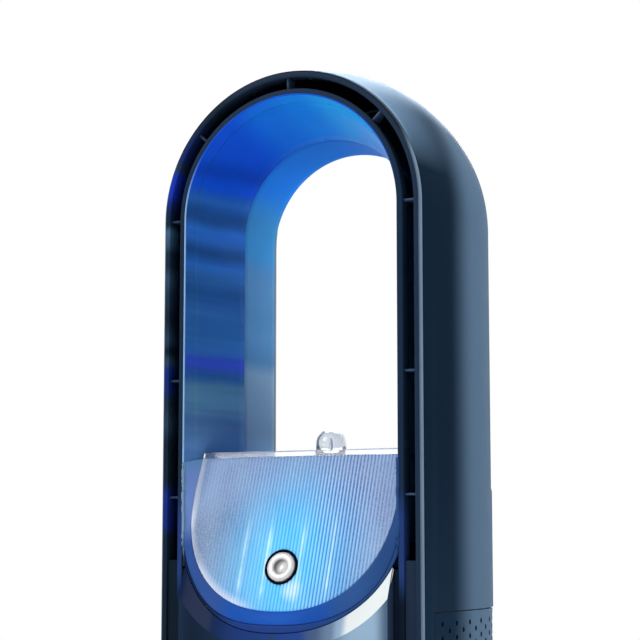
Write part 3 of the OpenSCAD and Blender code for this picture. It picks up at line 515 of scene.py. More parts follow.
def flare_finish():
    """Gloss blue wall, its tones painted light of the fan's blue glow: bright at the crown's
    right, deep at its left, greyer down the legs, with soft level bands of painted light and shade
    and fine dark streaks of painted reflection."""
    f = Finish("flare_gloss")
    crown = f.across((-62, "flare_deep"), (-30, "flare_deep", 1, "flare_clear", 0.6),
                     (0, "flare_clear"), (36, "flare_bright"), (66, "flare_bright", 1.1),
                     (84, "flare_edge"))
    legs = f.up(0.004, *FLARE_BANDS)
    # Fine level streaks, darker, as painted reflection
    fine = f.remap(f.noise(9, 3, (0.3, 0.5, 11)), 0.4, 0.65, 0, 0.35, True)
    legs = f.blend(fine, legs, f.times(legs, (0.55, 0.6, 0.7)))
    legs = f.blend(f.axis("X", 55, 80), legs, "flare_edge")
    return f.gloss(f.blend(f.axis("Z", 20, 85), legs, crown), 0.3, 1.06, 900, 0.04)


def throat_finish():
    """Satin blue wall whose tones are painted light of the fan's blue glow, greyer down the legs.
    """
    f = Finish("throat_satin")
    return f.gloss(f.blend(f.axis("X", 30, 75), f.up(0.003, *THROAT_BANDS),
                           tint("throat_top", 1, "flare_edge", 0.5)), 0.38, 1.03, 1100, 0.05)


def panel_finish(pitch):
    """Clear ribbed moulding, lit from behind: bright in the middle, grey towards its sides, with
    painted shade in the lines between its ribs, painted highlights on their crests, a few upright
    streaks of painted reflection, a painted bright spot and a painted highlight along its left
    edge."""
    f = Finish("panel_lit")
    centred = f.node("Mapping", {"Location": (-8 * MM, 0, -(ARCH_Z - 291 * MM)),
                                 "Scale": (1.2, 0, 1), "Vector": f.where}).outputs["Vector"]
    spread = f.remap(f.length(centred), 16 * MM, 110 * MM, 1, 0, True)
    # Greyer towards the sides and darker on the left at mid height, as painted shade
    sides = f.blend(f.axis("Z", -325, -290), "glow_low",
                    f.across((-95, "glow_edge", 0.66), (-30, "glow_edge", 0.8),
                             (40, "glow_edge")))
    sides = f.blend(f.axis("Z", -265, -222), sides, "glow_edge")
    colour = f.blend(spread, sides, "glow")
    cloud = f.remap(f.noise(34, 2, (1, 0.3, 0.5)), 0.35, 0.7, 0, 0.22)
    colour = f.blend(cloud, colour, (0.50, 0.78, 1.0))

    # Upright streaks of painted reflection
    peaks = [(place, lit) for x in STREAKS
             for place, lit in ((x - STREAK_W, 0), (x, 1), (x + STREAK_W, 0))]
    streak = f.times(f.across((ACROSS[0], 0), *peaks, (ACROSS[1], 0)),
                     f.along("Z", -330, -245, (-330, 0), (-304.5, 1), (-279, 1), (-245, 0)))
    broken = f.remap(f.noise(90, 3, (1, 0, 0.5)), 0.3, 0.6, 0.15, 0.75)
    colour = f.blend(f.times(streak, broken), colour, (0.6, 0.92, 1.0))
    # A painted bright spot of light
    painted_spot = f.near(PANEL_FRAME @ Vector((12 * MM, 18 * MM, 0)), 12, 2)
    colour = f.blend(f.remap(painted_spot, 0, 1, 0, 0.55), colour, (0.72, 0.86, 0.92))

    # At a scale of 1, one wave of the texture is 2 pi / 20 of a metre
    wave = f.node("TexWave", {"Scale": 2 * math.pi / (20 * pitch), "Vector": f.where},
                  bands_direction="X").outputs["Fac"]
    # Painted highlights on the rib crests, strongest right of the middle and higher up, and
    # painted shade between the ribs
    strength = f.across((-98, 0.1), (-60, 0.2), (-25, 0.3), (10, 0.4), (35, 0.8), (60, 0.85),
                        (80, 0.5), (98, 0.12))
    upper = f.blend(f.axis("Z", -290, -215), tint(0.2), tint(0.7))
    painted_crests = f.times(f.times(f.remap(wave, 0.45, 0), strength), upper)
    colour = f.blend(painted_crests, colour, (0.62, 0.76, 0.95))
    colour = f.blend(f.times(strength, f.remap(wave, 0.45, 1)), colour, "rib_line")
    speck = f.times(f.remap(f.noise(700, 1), 0.4, 0.7, 0, 0.4), f.blend(spread, WHITE, BLACK))
    colour = f.blend(speck, colour, (0.46, 0.52, 0.66))

    # A painted highlight along the panel's left edge
    left = f.times(f.across((ACROSS[0], 1), (-40, 1), (-16, 0)),
                   f.node("Attribute", attribute_name="rim").outputs["Fac"])
    edge = f.times(left, f.along("Z", -335, -215, (-335, 0.55), (-299, 0.6), (-284.6, 0.25),
                                 (-269, 0.35), (-253.4, 1), (-215, 1)))
    colour = f.blend(f.remap(edge, 0, 0.7, 0, 0.95), colour, (0.72, 0.77, 0.88))
    f.fill(f.shader, {"Base Color": colour, "Emission Color": colour,
                      "Emission Strength": f.remap(spread, 0, 1, 0.08, 0.4), "IOR": 1.2})
    return f.surface(0.3, 0.05, 1600, 0.04)


def lip_finish():
    """Moulded surround with painted light from the panel, most of all at its bottom: pale up its
    upper left, with painted shade at its lower left and greyer on its right.
    """
    f = Finish("surround_lit")
    left = f.along("Z", -345, -200, (-345, "lip_shade"), (-279.75, "lip_shade"),
                   (-240.6, "lip_left", 1.1), (-220.3, "lip_left"), (-200, "flare_pale", 1.4))
    middle = f.across((-60, "lip_shade"), (-35, "lip", 0.85), (5, "lip"), (35, "lip", 0.85),
                      (64, "lip_right", 1.25), (90, "lip_right"))
    return f.gloss(f.blend(f.axis("X", -84, -60), left, middle), 0.3, 1.08, 1200, 0.03)


def band_finish():
    """Outer band of the surround, night blue on its left as painted shade, with a painted
    highlight up its left side.
    """
    f = Finish("surround_dark")
    colour = f.across((-70, "lip_night"), (-30, "lip_dark", 0.9), (10, "lip_dark"),
                      (90, "lip_right", 0.95))
    side = f.times(f.axis("X", -96.5, -98.2), f.axis("Z", -300, -262))
    return f.gloss(f.blend(side, colour, tint("edge", 0.55)), 0.25, 1.1, 1200, 0.03)


def cover_finish():
    """High gloss cover, dark on the left and pale on the right with a painted reflection."""
    f = Finish("cover_gloss")
    return f.gloss(f.across(
        (-100, "cover_dark", 1.6), (-80, "cover_dark"), (-45, "cover_dark", 1.6),
        (-8, "cover_mid"), (30, "cover_mid", 1, "cover_pale", 0.06),
        (49, "cover_mid", 1, "cover_pale", 0.36), (68, "cover_pale"), (84, "cover_pale"),
        (95, "cover_end")), 0.16, 1.1, 700, 0.01)


def bevel_finish():
    """Polished bevel of the cover: night blue on the left as painted shade, bright on the right
    with a painted reflection.
    """
    f = Finish("bevel_polished")
    return f.gloss(f.across(
        (-70, "lip_night"), (-20, "lip_dark", 0.8), (22, "lip_dark", 1.1),
        (36, "cover_mid", 1, "cover_pale", 0.16), (49, "cover_mid", 1, "cover_pale", 0.45),
        (57, "cover_pale"), (64, "accent")), 0.14, 1.12, 700, 0.01)


def flank_finish():
    """Side walls of the cover, with painted shade where they meet the rim."""
    f = Finish("flank_satin")
    return f.gloss(f.blend(f.axis("Y", -1.6, -0.2), "flank", "inner_low"), 0.35, 1.08)


def clear_finish():
    """Clear moulding."""
    f = Finish("clear_moulding")
    f.fill(f.shader, {"Base Color": f.blend(f.cloud(60, 2), (0.86, 0.9, 0.94), (0.97, 0.98, 1)),
                      "Transmission Weight": 0.92, "IOR": 1.42})
    return f.surface(0.08, 0.03, 500, 0.03)


def silver_finish(dimple_r):
    """Satin metal, with a painted highlight in the dimple towards its lower right, fading to
    painted shade that is darkest at its upper left.
    """
    f = Finish("satin_silver")
    brushed = f.blend(f.cloud(500, 3), tint("silver", 0.93), tint("silver", 1.05))
    # Painted highlight near a point right of and below the button's centre, fading to painted
    # shade
    dimple_light_and_shade = f.blend(f.near(PANEL_FRAME @ Vector((2.6 * MM, 35.5 * MM, 0)), 3.4, 8.4),
                   tint("silver", 1.1), tint("silver", 0.13))
    rim = f.near(PANEL_FRAME @ Vector((0, BUTTON_UP, 1.2 * MM)), dimple_r / MM - 0.9,
                 dimple_r / MM + 0.5)
    f.fill(f.shader, {"Base Color": f.blend(rim, dimple_light_and_shade, brushed), "Metallic": 0.2})
    return f.surface(0.32, 0.05, 2400, 0.04)


def pleated(name, colour):
    """Pleated filter medium: close upright folds, darker along each fold as painted shade."""
    f = Finish(name)
    flat = f.node("Mapping", {"Scale": (1, 1, 0), "Vector": f.where}).outputs["Vector"]
    folds = f.node("TexWave", {"Scale": 60, "Vector": flat},
                   bands_direction="DIAGONAL").outputs["Fac"]
    f.fill(f.shader, {"Base Color": f.blend(folds, shade(colour, 0.6), colour),
                      "Roughness": f.remap(f.noise(300, 2), 0.3, 0.7, 0.8, 0.95)})
    f.relief(folds, 0.6, MM)
    return f.material


def copper_finish():
    """Wound copper wire, in turns round the motor's axis."""
    f = Finish("copper_winding")
    turns = f.node("TexWave", {"Scale": 260, "Vector": f.where}, bands_direction="Z")
    f.fill(f.shader, {"Base Color": f.blend(turns.outputs["Fac"], (0.28, 0.10, 0.035),
                                            (0.62, 0.27, 0.11)), "Metallic": 0.9})
    return f.surface(0.35)


def floor_finish():
    """Pale floor that turns white away from the fan, for the rays that show it."""
    f = Finish("pale_floor")
    f.fill(f.shader, {"Base Color": f.blend(f.cloud(9, 2), tint(0.86), tint(0.88)),
                      "Roughness": 0.7})
    fade = f.remap(f.length(f.where), 0.7, 2.2, smooth=True)
    share = f.node("Math", {0: fade, 1: f.seen_rays()}, operation="MULTIPLY").outputs[0]
    mix = f.node("MixShader", {0: share, 1: f.shader.outputs[0],
                               2: f.node("Emission").outputs[0]})
    f.fill(f.out, {"Surface": mix.outputs[0]})
    return f.material


# ---------------------------------------------------------------- mesh helpers

def piece(name, bm, body, slot, mats, nodes=(), modifiers=()):
    """Turns a bmesh into a finished piece that rides on a body and stands for CAD nodes."""
    mesh = bpy.data.meshes.new(name)
    bm.to_mesh(mesh)
    bm.free()
    mesh.shade_smooth()
    obj = bpy.data.objects.new(name, mesh)
    bpy.context.scene.collection.objects.link(obj)
    for mat in mats if isinstance(mats, list) else [mats]:
        mesh.materials.append(mat)
    for kind, settings in modifiers:
        mod = obj.modifiers.new(kind.title(), kind)
        for key, value in settings.items():
            setattr(mod, key, value)
    if nodes:
        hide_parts(*nodes)
    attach(obj, body)
    return obj


def rounding(width=None, segments=2, angle=32, **more):
    """Rounds the edges, by the fan's own edge rounding or by a given width."""
    return "BEVEL", {"width": width or bpy.context.scene.fan_sizes.edge_round,
                     "segments": segments, "limit_method": "ANGLE",
                     "angle_limit": math.radians(angle), "harden_normals": False, **more}


def wall(thickness, even=True, **more):
    """Gives a sheet its thickness, behind its face."""
    return "SOLIDIFY", {"thickness": thickness, "offset": -1, "use_even_offset": even, **more}


def grow(bm, edges, move):
    """Extrudes edges and puts the new ones where move says."""
    made = bmesh.ops.extrude_edge_only(bm, edges=edges)["geom"]
    fresh = {g for g in made if isinstance(g, bmesh.types.BMVert)}
    for v in fresh:
        v.co = move(v.co)
    return [g for g in made if isinstance(g, bmesh.types.BMEdge)
            and g.verts[0] in fresh and g.verts[1] in fresh]


def arch_chain(bm, u, half, crown, sink, levels):
    """A half circle over the arch's centre, with legs down to each of the levels."""
    bmesh.ops.create_circle(bm, cap_ends=False, segments=2 * ARC, radius=1.0,
                            matrix=Matrix.Rotation(math.pi / 2, 4, "X"))
    bmesh.ops.delete(bm, geom=[v for v in bm.verts if v.co.z < -1e-4], context="VERTS")
    for v in bm.verts:
        v.co = Vector((v.co.x * half, Y0 + u, ARCH_Z + sink + max(0, v.co.z) * crown))
    for level in levels:
        ends = [v for v in bm.verts if len(v.link_edges) == 1]
        for v in bmesh.ops.extrude_vert_indiv(bm, verts=ends)["verts"]:
            v.co.z = level
    return bm.edges[:]


def arch_skin(stations, low=lambda u: LOW, closed=False, levels=()):
    """Sweeps stations [depth, half width, crown, sink] one behind another; low gives the legs'
    lower end at a depth. levels are extra heights on the legs of the first station."""
    bm = bmesh.new()
    first = edges = arch_chain(bm, *stations[0], [*levels, low(stations[0][0])])
    for old, new in zip(stations, stations[1:]):
        def move(co):
            (u, half, crown, sink), (to_u, to_half, to_crown, to_sink) = old, new
            z = co.z
            if z >= ARCH_Z + sink - 1e-6:
                z = ARCH_Z + to_sink + (z - ARCH_Z - sink) * to_crown / crown
            elif abs(z - low(u)) < 1e-6:
                z = low(to_u)
            return Vector((co.x * to_half / half, Y0 + to_u, z))
        edges = grow(bm, edges, move)
    if closed:
        bmesh.ops.bridge_loops(bm, edges=first + edges)
        bmesh.ops.holes_fill(bm, edges=[e for e in bm.edges if e.is_boundary], sides=0)
        bmesh.ops.recalc_face_normals(bm, faces=bm.faces)
    return bm


def open_at(u):
    """Station of the opening's wall at a depth."""
    return u, open_r(u), open_r(u), open_sink(u)


def turn_out(bm, outward):
    """Turns an open sheet so that most of its faces point the way that outward calls positive."""
    bmesh.ops.recalc_face_normals(bm, faces=bm.faces)
    if sum(outward(f.calc_center_median(), f.normal) for f in bm.faces) < 0:
        bmesh.ops.reverse_faces(bm, faces=bm.faces)


def from_axis(centre, normal):
    """Positive where a face points away from the middle of the opening."""
    return normal.x * centre.x + normal.z * max(0, centre.z - ARCH_Z)


def from_core(centre, normal):
    """Positive where a face points away from the middle of the column."""
    return normal.x * centre.x + normal.y * centre.y


def to_front(centre, normal):
    return -normal.y


def lathe(profile, place, segments=64):
    """Turns a profile of (radius, height) points, in millimetres, about its place's own Z."""
    bm = bmesh.new()
    verts = [bm.verts.new((r * MM, 0, h * MM)) for r, h in profile]
    edges = [bm.edges.new(pair) for pair in zip(verts, verts[1:])]
    bmesh.ops.spin(bm, geom=verts + edges, cent=(0, 0, 0), axis=(0, 0, 1), angle=2 * math.pi,
                   steps=segments, use_merge=True)
    bmesh.ops.remove_doubles(bm, verts=bm.verts, dist=1e-6)
    bmesh.ops.recalc_face_normals(bm, faces=bm.faces)
    bmesh.ops.transform(bm, matrix=place, verts=bm.verts)
    return bm


def plan_table(start):
    """Points of the column's right half in plan, from a depth to the back, and the length along
    its outside at each."""
    pts = [(half_w(u), Y0 + u) for u in
           (start + (LOOP_D - start) * i / PLAN_SIDE for i in range(PLAN_SIDE + 1))]
    pts += [(TIP_W * math.cos(a), Y0 + LOOP_D + BACK_R * math.sin(a)) for a in
            (math.pi / 2 * i / PLAN_BACK for i in range(1, PLAN_BACK + 1))]
    pts = np.array(pts)
    run = np.concatenate([[0], np.cumsum(np.linalg.norm(np.diff(pts, axis=0), axis=1))])
    return run, pts


def plan_length(start):
    return plan_table(start)[0][-1]


def wrap(bm, start):
    """Bends a flat sheet, x along the plan from start and y up, round the column's right half."""
    run, pts = plan_table(start)
    for v in bm.verts:
        s = min(max(v.co.x, 0), run[-1])
        v.co = Vector((np.interp(s, run, pts[:, 0]), np.interp(s, run, pts[:, 1]), v.co.y))


def both_sides(bm):
    """Mirrors a right half onto the left."""
    bmesh.ops.mirror(bm, geom=bm.verts[:] + bm.edges[:] + bm.faces[:], axis="X",
                     merge_dist=0.2 * MM)


def sheet(columns, rows, place):
    """A grid whose points, from -1 to 1 each way, go where place says."""
    bm = bmesh.new()
    bmesh.ops.create_grid(bm, x_segments=columns, y_segments=rows, size=1.0)
    for v in bm.verts:
        v.co = place(v.co.x, v.co.y)
    return bm


def back_band(start, low, high, columns):
    """A sheet round the column's back, from a depth on one side to the same on the other."""
    length = plan_length(start)
    bm = sheet(columns, 1, lambda x, y: Vector(((x + 1) / 2 * length,
                                                low + (high - low) * (y + 1) / 2, 0)))
    wrap(bm, start)
    both_sides(bm)
    return bm


def cut(bm, point, normal):
    """Cuts off what lies past a plane."""
    bmesh.ops.bisect_plane(bm, geom=bm.verts[:] + bm.edges[:] + bm.faces[:], dist=1e-7,
                           plane_co=point, plane_no=normal, clear_outer=True)


def u_curve(t, w, h, n, bottom, top):
    """A U-shaped outline, t from -1 (top left) through 0 (bottom) to 1 (top right)."""
    side = -1 if t < 0 else 1
    k = abs(t)
    if k <= BEND:
        a = math.pi / 2 * (1 - k / BEND)
        return (side * w * math.cos(a) ** (2 / n) if a < math.pi / 2 else 0.0,
                bottom + h * (1 - math.sin(a) ** (2 / n)))
    return side * w, bottom + h + (top - bottom - h) * (k - BEND) / (1 - BEND)


def moved(outline, **by):
    """An outline with some of its measures changed, in millimetres."""
    return {**outline, **{key: outline[key] + change * MM for key, change in by.items()}}


def on_cover(t, outline, sink=0.0):
    """A point of a U-shaped outline, laid on the bulge under the surround."""
    x, z = u_curve(t, **outline)
    x = max(GAP - INNER_R, min(INNER_R - GAP, x))
    return Vector((x, cover_y(x) + sink, z))


def on_panel(t, out, margin):
    """A point of the panel's outline, out of its face by out and grown by margin."""
    x, up = u_curve(t, PANEL_W + margin, PANEL_H + margin, PANEL_POWER, -margin, PANEL_L)
    x *= 1 - PANEL_DRAW * max(0, abs(t) - BEND) / (1 - BEND)
    return PANEL_FRAME @ Vector((x, up, out))


def panel_foot(x, w):
    """Where the panel starts, up its length, at a place across it."""
    return PANEL_H * (1 - max(0.0, 1 - min(1.0, abs(x) / w) ** PANEL_POWER) ** (1 / PANEL_POWER))


def lofted(rows):
    """A sheet whose rows follow the given curves of t, facing the front."""
    last = len(rows) - 1
    bm = sheet(LOFT, last, lambda x, y: rows[round((y + 1) / 2 * last)](x))
    turn_out(bm, to_front)
    return bm


# ---------------------------------------------------------------- operators

class FAN_OT_shell(bpy.types.Operator):
    """Builds the outer shell of the loop, with the front strips of the column"""
    bl_idname = "fan.shell"
    bl_label = "Outer shell"

    def execute(self, context):
        bm = arch_skin([(d * MM, half_w(d * MM), crown_h(d * MM), 0) for d in SHELL_DEPTHS],
                       levels=[SEAM_Z])
        gone = [f for f in bm.faces if f.calc_center_median().z < SEAM_Z
                and f.calc_center_median().y > Y0 + STRIP_D]
        bmesh.ops.delete(bm, geom=gone, context="FACES")
        turn_out(bm, from_axis)
        # The shell's inside, and the grilles' hole walls further on, are painted dark as painted
        # shade
        inside = moulded("shell_inside", tint("rim", 0.4), 0.6, 0, 1.05)
        piece("outer_shell_skin", bm, "column", "shell_blue", [shell_paint(), inside],
              ["outer_shell"], [wall(WALL, material_offset=1), rounding()])
        return {"FINISHED"}


class FAN_OT_rims(bpy.types.Operator):
    """Builds the trim line, bright on its legs with a painted highlight, and both rims of the air
    slot, and finishes the slot
    """
    bl_idname = "fan.rims"
    bl_label = "Rims and slot"

    def ring(self, *points):
        """A closed skin through (inset from the loop's outside, depth), in millimetres."""
        return arch_skin([(u * MM, HALF - x * MM, HALF - x * MM, 0) for x, u in points],
                         closed=True)

    def webs(self):
        """The ribs that bridge the air slot, round the arch and down the legs."""
        bm = bmesh.new()
        middle = (SLOT_IN + SLOT_OUT) / 2
        size = Matrix.Diagonal((SLOT_OUT - SLOT_IN + 0.6 * MM, 12 * MM, 1.8 * MM, 1))
        turned = [math.radians(a) for a in WEB_ANGLES]
        places = [(middle * math.cos(a), middle * math.sin(a), a) for a in turned]
        places += [(side * middle, -drop * MM, 0) for drop in WEB_DROPS for side in (-1, 1)]
        for x, z, a in places:
            web = bmesh.ops.create_cube(bm, size=1.0, matrix=(
                Matrix.Translation((x, Y0 + 9 * MM, ARCH_Z + z))
                @ Matrix.Rotation(-a, 4, "Y") @ size))["verts"]
            bmesh.ops.bevel(bm, geom=list({e for v in web for e in v.link_edges}),
                            offset=0.35 * MM, segments=2, profile=0.5, affect="EDGES",
                            material=-1)
        return bm

    def execute(self, context):
        bm = self.ring((0.9, 0), (0.25, 0.25), (0, 1), (0, 5.4), (2.5, 5.4), (2.5, 1))
        piece("trim_line", bm, "column", "trim", trim_finish(), ["edge_trim"],
              [rounding(0.15 * MM)])
        slot, shell = (HALF - SLOT_OUT) / MM, WALL / MM + 0.1
        bm = self.ring((slot, 0), (1, 0), (1.3, 0.9), (shell, 2), (shell, 16), (slot, 16))
        piece("rim_outer", bm, "column", "rim_dark", rim_finish(), ["outer_rim"], [rounding()])
        piece("slot_webs", self.webs(), "column", "rim_dark",
              side_lit("web_gloss", tint("rim", 1.5), tint("rim", 2.6), 0.3, 1.15),
              ["slot_ribs"])

        # The corner between the rim's front and the opening has the edge finish with its painted
        # highlight
        deep, wide = 0.9 * MM, INNER_R + 0.8 * MM
        bm = arch_skin([(0, r, r, 0) for r in (INNER_R, wide, SLOT_IN)]
                       + [(RIM_D, SLOT_IN, SLOT_IN, open_sink(RIM_D)), open_at(RIM_D),
                          open_at(deep)], closed=True)
        for face in bm.faces:
            centre, normal = face.calc_center_median(), face.normal
            reach = max(math.hypot(v.co.x, max(0, v.co.z - ARCH_Z)) for v in face.verts)
            if from_axis(centre, normal) < 0 and abs(normal.y) < 0.5:
                face.material_index = 1 if centre.y < Y0 + deep else 2
            elif normal.y < -0.5 and reach < wide + 0.1 * MM:
                face.material_index = 1
        piece("rim_inner", bm, "column", "rim_blue",
              [inner_finish(), edge_finish(), flare_finish()], ["inner_rim"],
              [rounding(0.6 * MM, 3)])
        return {"FINISHED"}


class FAN_OT_opening(bpy.types.Operator):
    """Builds the flared wall, the throat and the slanted rear ring"""
    bl_idname = "fan.opening"
    bl_label = "Opening walls"

    def execute(self, context):
        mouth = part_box("flare_liner")[0][2]
        steps = 8
        for name, a, b, node, slot, mat in (
                ("flare_wall", RIM_D, FLARE_D, "flare_liner", "flare_blue",
                 bpy.data.materials["flare_gloss"]),
                ("throat_wall", FLARE_D, REAR_D, "throat_liner", "throat_blue",
                 throat_finish())):
            bm = arch_skin([open_at(a + (b - a) * i / steps) for i in range(steps + 1)],
                           lambda u: mouth)
            turn_out(bm, lambda centre, normal: -from_axis(centre, normal))
            piece(name, bm, "column", slot, mat, [node], [wall(WALL)])

        start, seam, end = REAR_D + GAP, SHELL_END + GAP, LOOP_D - 1.2 * MM
        bm = arch_skin([(start, r, r, open_sink(start)) for r in (CREASE_R, CREASE_R + WALL)]
                       + [(u, half_w(u) - inset, crown_h(u) - inset, 0) for u, inset in
                          ((seam, WALL), (seam, 0), (end, 0), (LOOP_D, 0.8 * MM))],
                       lambda u: DECK_Z - REAR_SLOPE * (u - start), True)
        piece("rear_bevel", bm, "column", "rear_dark",
              moulded("rear_paint", tint("shell_rear", 0.5), 0.4, 0, 1.2, grain=2200),
              ["rear_ring"], [rounding(0.5 * MM, 2, 25)])
        return {"FINISHED"}


class FAN_OT_panel(bpy.types.Operator):
    """Builds the ribbed panel, with a hole for the button"""
    bl_idname = "fan.panel"
    bl_label = "Ribbed panel"

    def execute(self, context):
        sizes = context.scene.fan_sizes
        pitch, depth = sizes.rib_pitch, sizes.rib_depth
        w = PANEL_W - 0.1 * MM

        def ribbed(x, y):
            x *= w
            low = panel_foot(x, w)
            y = low + (PANEL_L - low) * (y + 1) / 2
            quiet = 1 - RIB_QUIET * min(1.0, max(0.0, (abs(x) - QUIET_FROM) / QUIET_OVER))
            rise = depth * quiet * abs(math.cos(math.pi * x / pitch)) - depth
            draw = 1 - PANEL_DRAW * max(0.0, y - PANEL_H) / (PANEL_L - PANEL_H)
            return Vector((x * draw, y, rise))
        bm = sheet(int(2 * w / pitch) * 8, 60, ribbed)
        button = Vector((0, BUTTON_UP, 0))
        hole = [f for f in bm.faces if (f.calc_center_median() - button).length < BUTTON_HOLE]
        bmesh.ops.delete(bm, geom=hole, context="FACES")
        turn_out(bm, lambda centre, normal: normal.z)
        # The finish reads this for its painted edge highlight: 1 along the panel's edge, falling
        # to 0 inside it
        rim = bm.verts.layers.float.new("rim")
        for v in bm.verts:
            x = abs(v.co.x)
            gap = min(w - x, max(0.0, v.co.y - panel_foot(x, w)) * (1.3 - 0.9 * min(1, x / w)))
            v[rim] = max(0.0, 1 - gap / PANEL_EDGE)
        bmesh.ops.transform(bm, matrix=PANEL_FRAME, verts=bm.verts)
        piece("lit_panel", bm, "panel", "ribbed_clear", panel_finish(pitch),
              ["ribbed_panel"], [wall(2.5 * MM)])
        return {"FINISHED"}


class FAN_OT_surround(bpy.types.Operator):
    """Builds the surround of the panel and the bulged front cover"""
    bl_idname = "fan.surround"
    bl_label = "Surround and cover"

    def reach(self, outline):
        """Where along a U-shaped outline it meets the cover's sides."""
        low, high = 0.0, 1.0
        for _ in range(40):
            t = (low + high) / 2
            low, high = (t, high) if u_curve(t, **outline)[0] < COVER_SIDE else (low, t)
        return low

    def execute(self, context):
        groove = context.scene.fan_sizes.groove

        def between(t, share, proud):
            """A point between the panel's edge and the surround's own outline."""
            point = on_panel(t, -0.4 * MM, 0.5 * MM).lerp(on_cover(t, LIP), share)
            return point + Vector((0, -proud, 0))
        rows = [partial(on_panel, out=out * MM, margin=margin * MM)
                for out, margin in ((-4, 0.3), (-0.6, 0.3), (-0.2, 0.7))]
        rows += [partial(between, share=share, proud=proud * MM)
                 for share, proud in ((0.3, 0.3), (0.6, 0.4), (0.93, 0.1))]
        rows += [partial(on_cover, outline=LIP, sink=groove)]
        piece("surround_inner", lofted(rows), "column", "surround_blue", lip_finish(),
              ["panel_surround"], [wall(1.5 * MM, False)])
        rows = [partial(on_cover, outline=outline, sink=sink) for outline, sink in (
            (LIP, groove), (moved(LIP, w=0.9, bottom=-0.9), 0), (BAND, 0),
            (moved(BAND, bottom=-0.5), groove))]
        piece("surround_outer", lofted(rows), "column", "surround_blue", band_finish(), (),
              [wall(1.5 * MM, False)])

        # The cover, from its groove over its bevel and down to its foot
        near = moved(BAND, w=0.5, bottom=-0.9)
        far = moved(near, w=COVER_BEVEL, h=COVER_BEVEL, bottom=-COVER_BEVEL)
        near_t, far_t = self.reach(near), self.reach(far)

        def down(t, share):
            x, z = u_curve(t * far_t, **far)
            x, z = x * (1 - share) + COVER_SIDE * t * share, z * (1 - share) + LOW * share
            return Vector((x, cover_front(x), z))
        bm = lofted([lambda t: on_cover(t * near_t, near, groove),
                     lambda t: on_cover(t * near_t, near),
                     *[partial(down, share=share) for share in COVER_ROWS]])
        for face in bm.faces:
            on_front = all(abs(v.co.y - cover_front(v.co.x)) < 0.01 * MM for v in face.verts)
            face.material_index = 0 if on_front else 1
        flank = [e for e in bm.edges if e.is_boundary
                 and all(abs(abs(v.co.x) - COVER_SIDE) < 0.02 * MM for v in e.verts)]
        before = set(bm.faces)
        back = grow(bm, flank, lambda co: Vector((co.x, Y0 - 0.1 * MM, co.z)))
        grow(bm, back, lambda co: Vector((math.copysign(INNER_R - GAP, co.x), co.y, co.z)))
        for face in set(bm.faces) - before:
            face.material_index = 2
        turn_out(bm, to_front)
        for e in bm.edges:
            e.smooth = e.calc_face_angle(0) < math.radians(9)
        piece("cover_front", bm, "column", "cover_gloss",
              [cover_finish(), bevel_finish(), flank_finish()], ["front_cover"],
              [wall(2 * MM, False)])

        # Strips that close the view past the cover's sides
        top = u_curve(near_t, **near)[1] + 12 * MM
        bm = sheet(2, 24, lambda x, y: Vector((
            INNER_R - 5 * MM + x * 4.6 * MM, Y0 + 3.4 * MM, LOW + (top - LOW) * (y + 1) / 2)))
        both_sides(bm)
        turn_out(bm, to_front)
        piece("rim_backing", bm, "column", "rim_dark", bpy.data.materials["flank_satin"], (),
              [wall(1.2 * MM)])
        return {"FINISHED"}


class FAN_OT_button(bpy.types.Operator):
    """Builds the dimpled button and its gasket"""
    bl_idname = "fan.button"
    bl_label = "Button"

    def execute(self, context):
        at = PANEL_FRAME @ Matrix.Translation((0, BUTTON_UP, 0))
        dimple = context.scene.fan_sizes.dimple_r
        r, d = 12.5, dimple / MM
        bm = lathe([(0, -0.5), (d * 0.2, -0.42), (d * 0.4, -0.15), (d * 0.6, 0.3),
                    (d * 0.8, 0.95), (d * 0.92, 1.45), (d, 1.85), (d + 0.5, 2.15),
                    (d + 1.3, 2.35), (r - 2.2, 2.3), (r - 0.9, 1.9), (r - 0.2, 1.2), (r, 0.4),
                    (r, -9), (0, -9)], at, 96)
        piece("button_cap", bm, "button", "button_silver", silver_finish(dimple),
              ["silver_button"])
        lo, hi = 12.95, 14.9
        bm = lathe([(lo, -5), (lo, 0.6), (lo + 0.3, 1.05), ((lo + hi) / 2, 1.2),
                    (hi - 0.3, 1.05), (hi, 0.6), (hi, -5), (lo, -5)], at, 96)
        piece("gasket_ring", bm, "column", "black_rubber",
              moulded("gasket_rubber", tint("rubber"), 0.5, 0, 1.1), ["button_gasket"])
        return {"FINISHED"}


class FAN_OT_dome(bpy.types.Operator):
    """Builds the clear dome on the deck, with its stem"""
    bl_idname = "fan.dome"
    bl_label = "Clear dome"

    def execute(self, context):
        lo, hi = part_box("clear_dome")
        at = Matrix.Translation(((lo[0] + hi[0]) / 2, (lo[1] + hi[1]) / 2, lo[2]))
        r = (hi[0] - lo[0]) / 2 / MM
        inner_r = r - 1.6
        arc = [math.pi / 2 * i / 14 for i in range(14)]
        bm = lathe([(r, 0), *[(r * math.cos(a), r + r * math.sin(a)) for a in arc], (0, 2 * r),
                    (0, r + inner_r),
                    *[(inner_r * math.cos(a), r + inner_r * math.sin(a)) for a in arc[::-1]],
                    (inner_r, 0), (r, 0)], at)
        piece("dome_shell", bm, "column", "clear", clear_finish(), ["clear_dome"])
        bm = lathe([(0, 18), (0.8, 17.6), (1.3, 16), (1.5, 10), (2, 4), (3.2, 2.4), (5.6, 2),
                    (6, 1.6), (6, 0), (0, 0)], at, 48)
        piece("dome_spike", bm, "column", "stem",
              moulded("stem_bright", (0.55, 0.6, 0.66), 0.2, 0.8), ["dome_stem"])
        return {"FINISHED"}


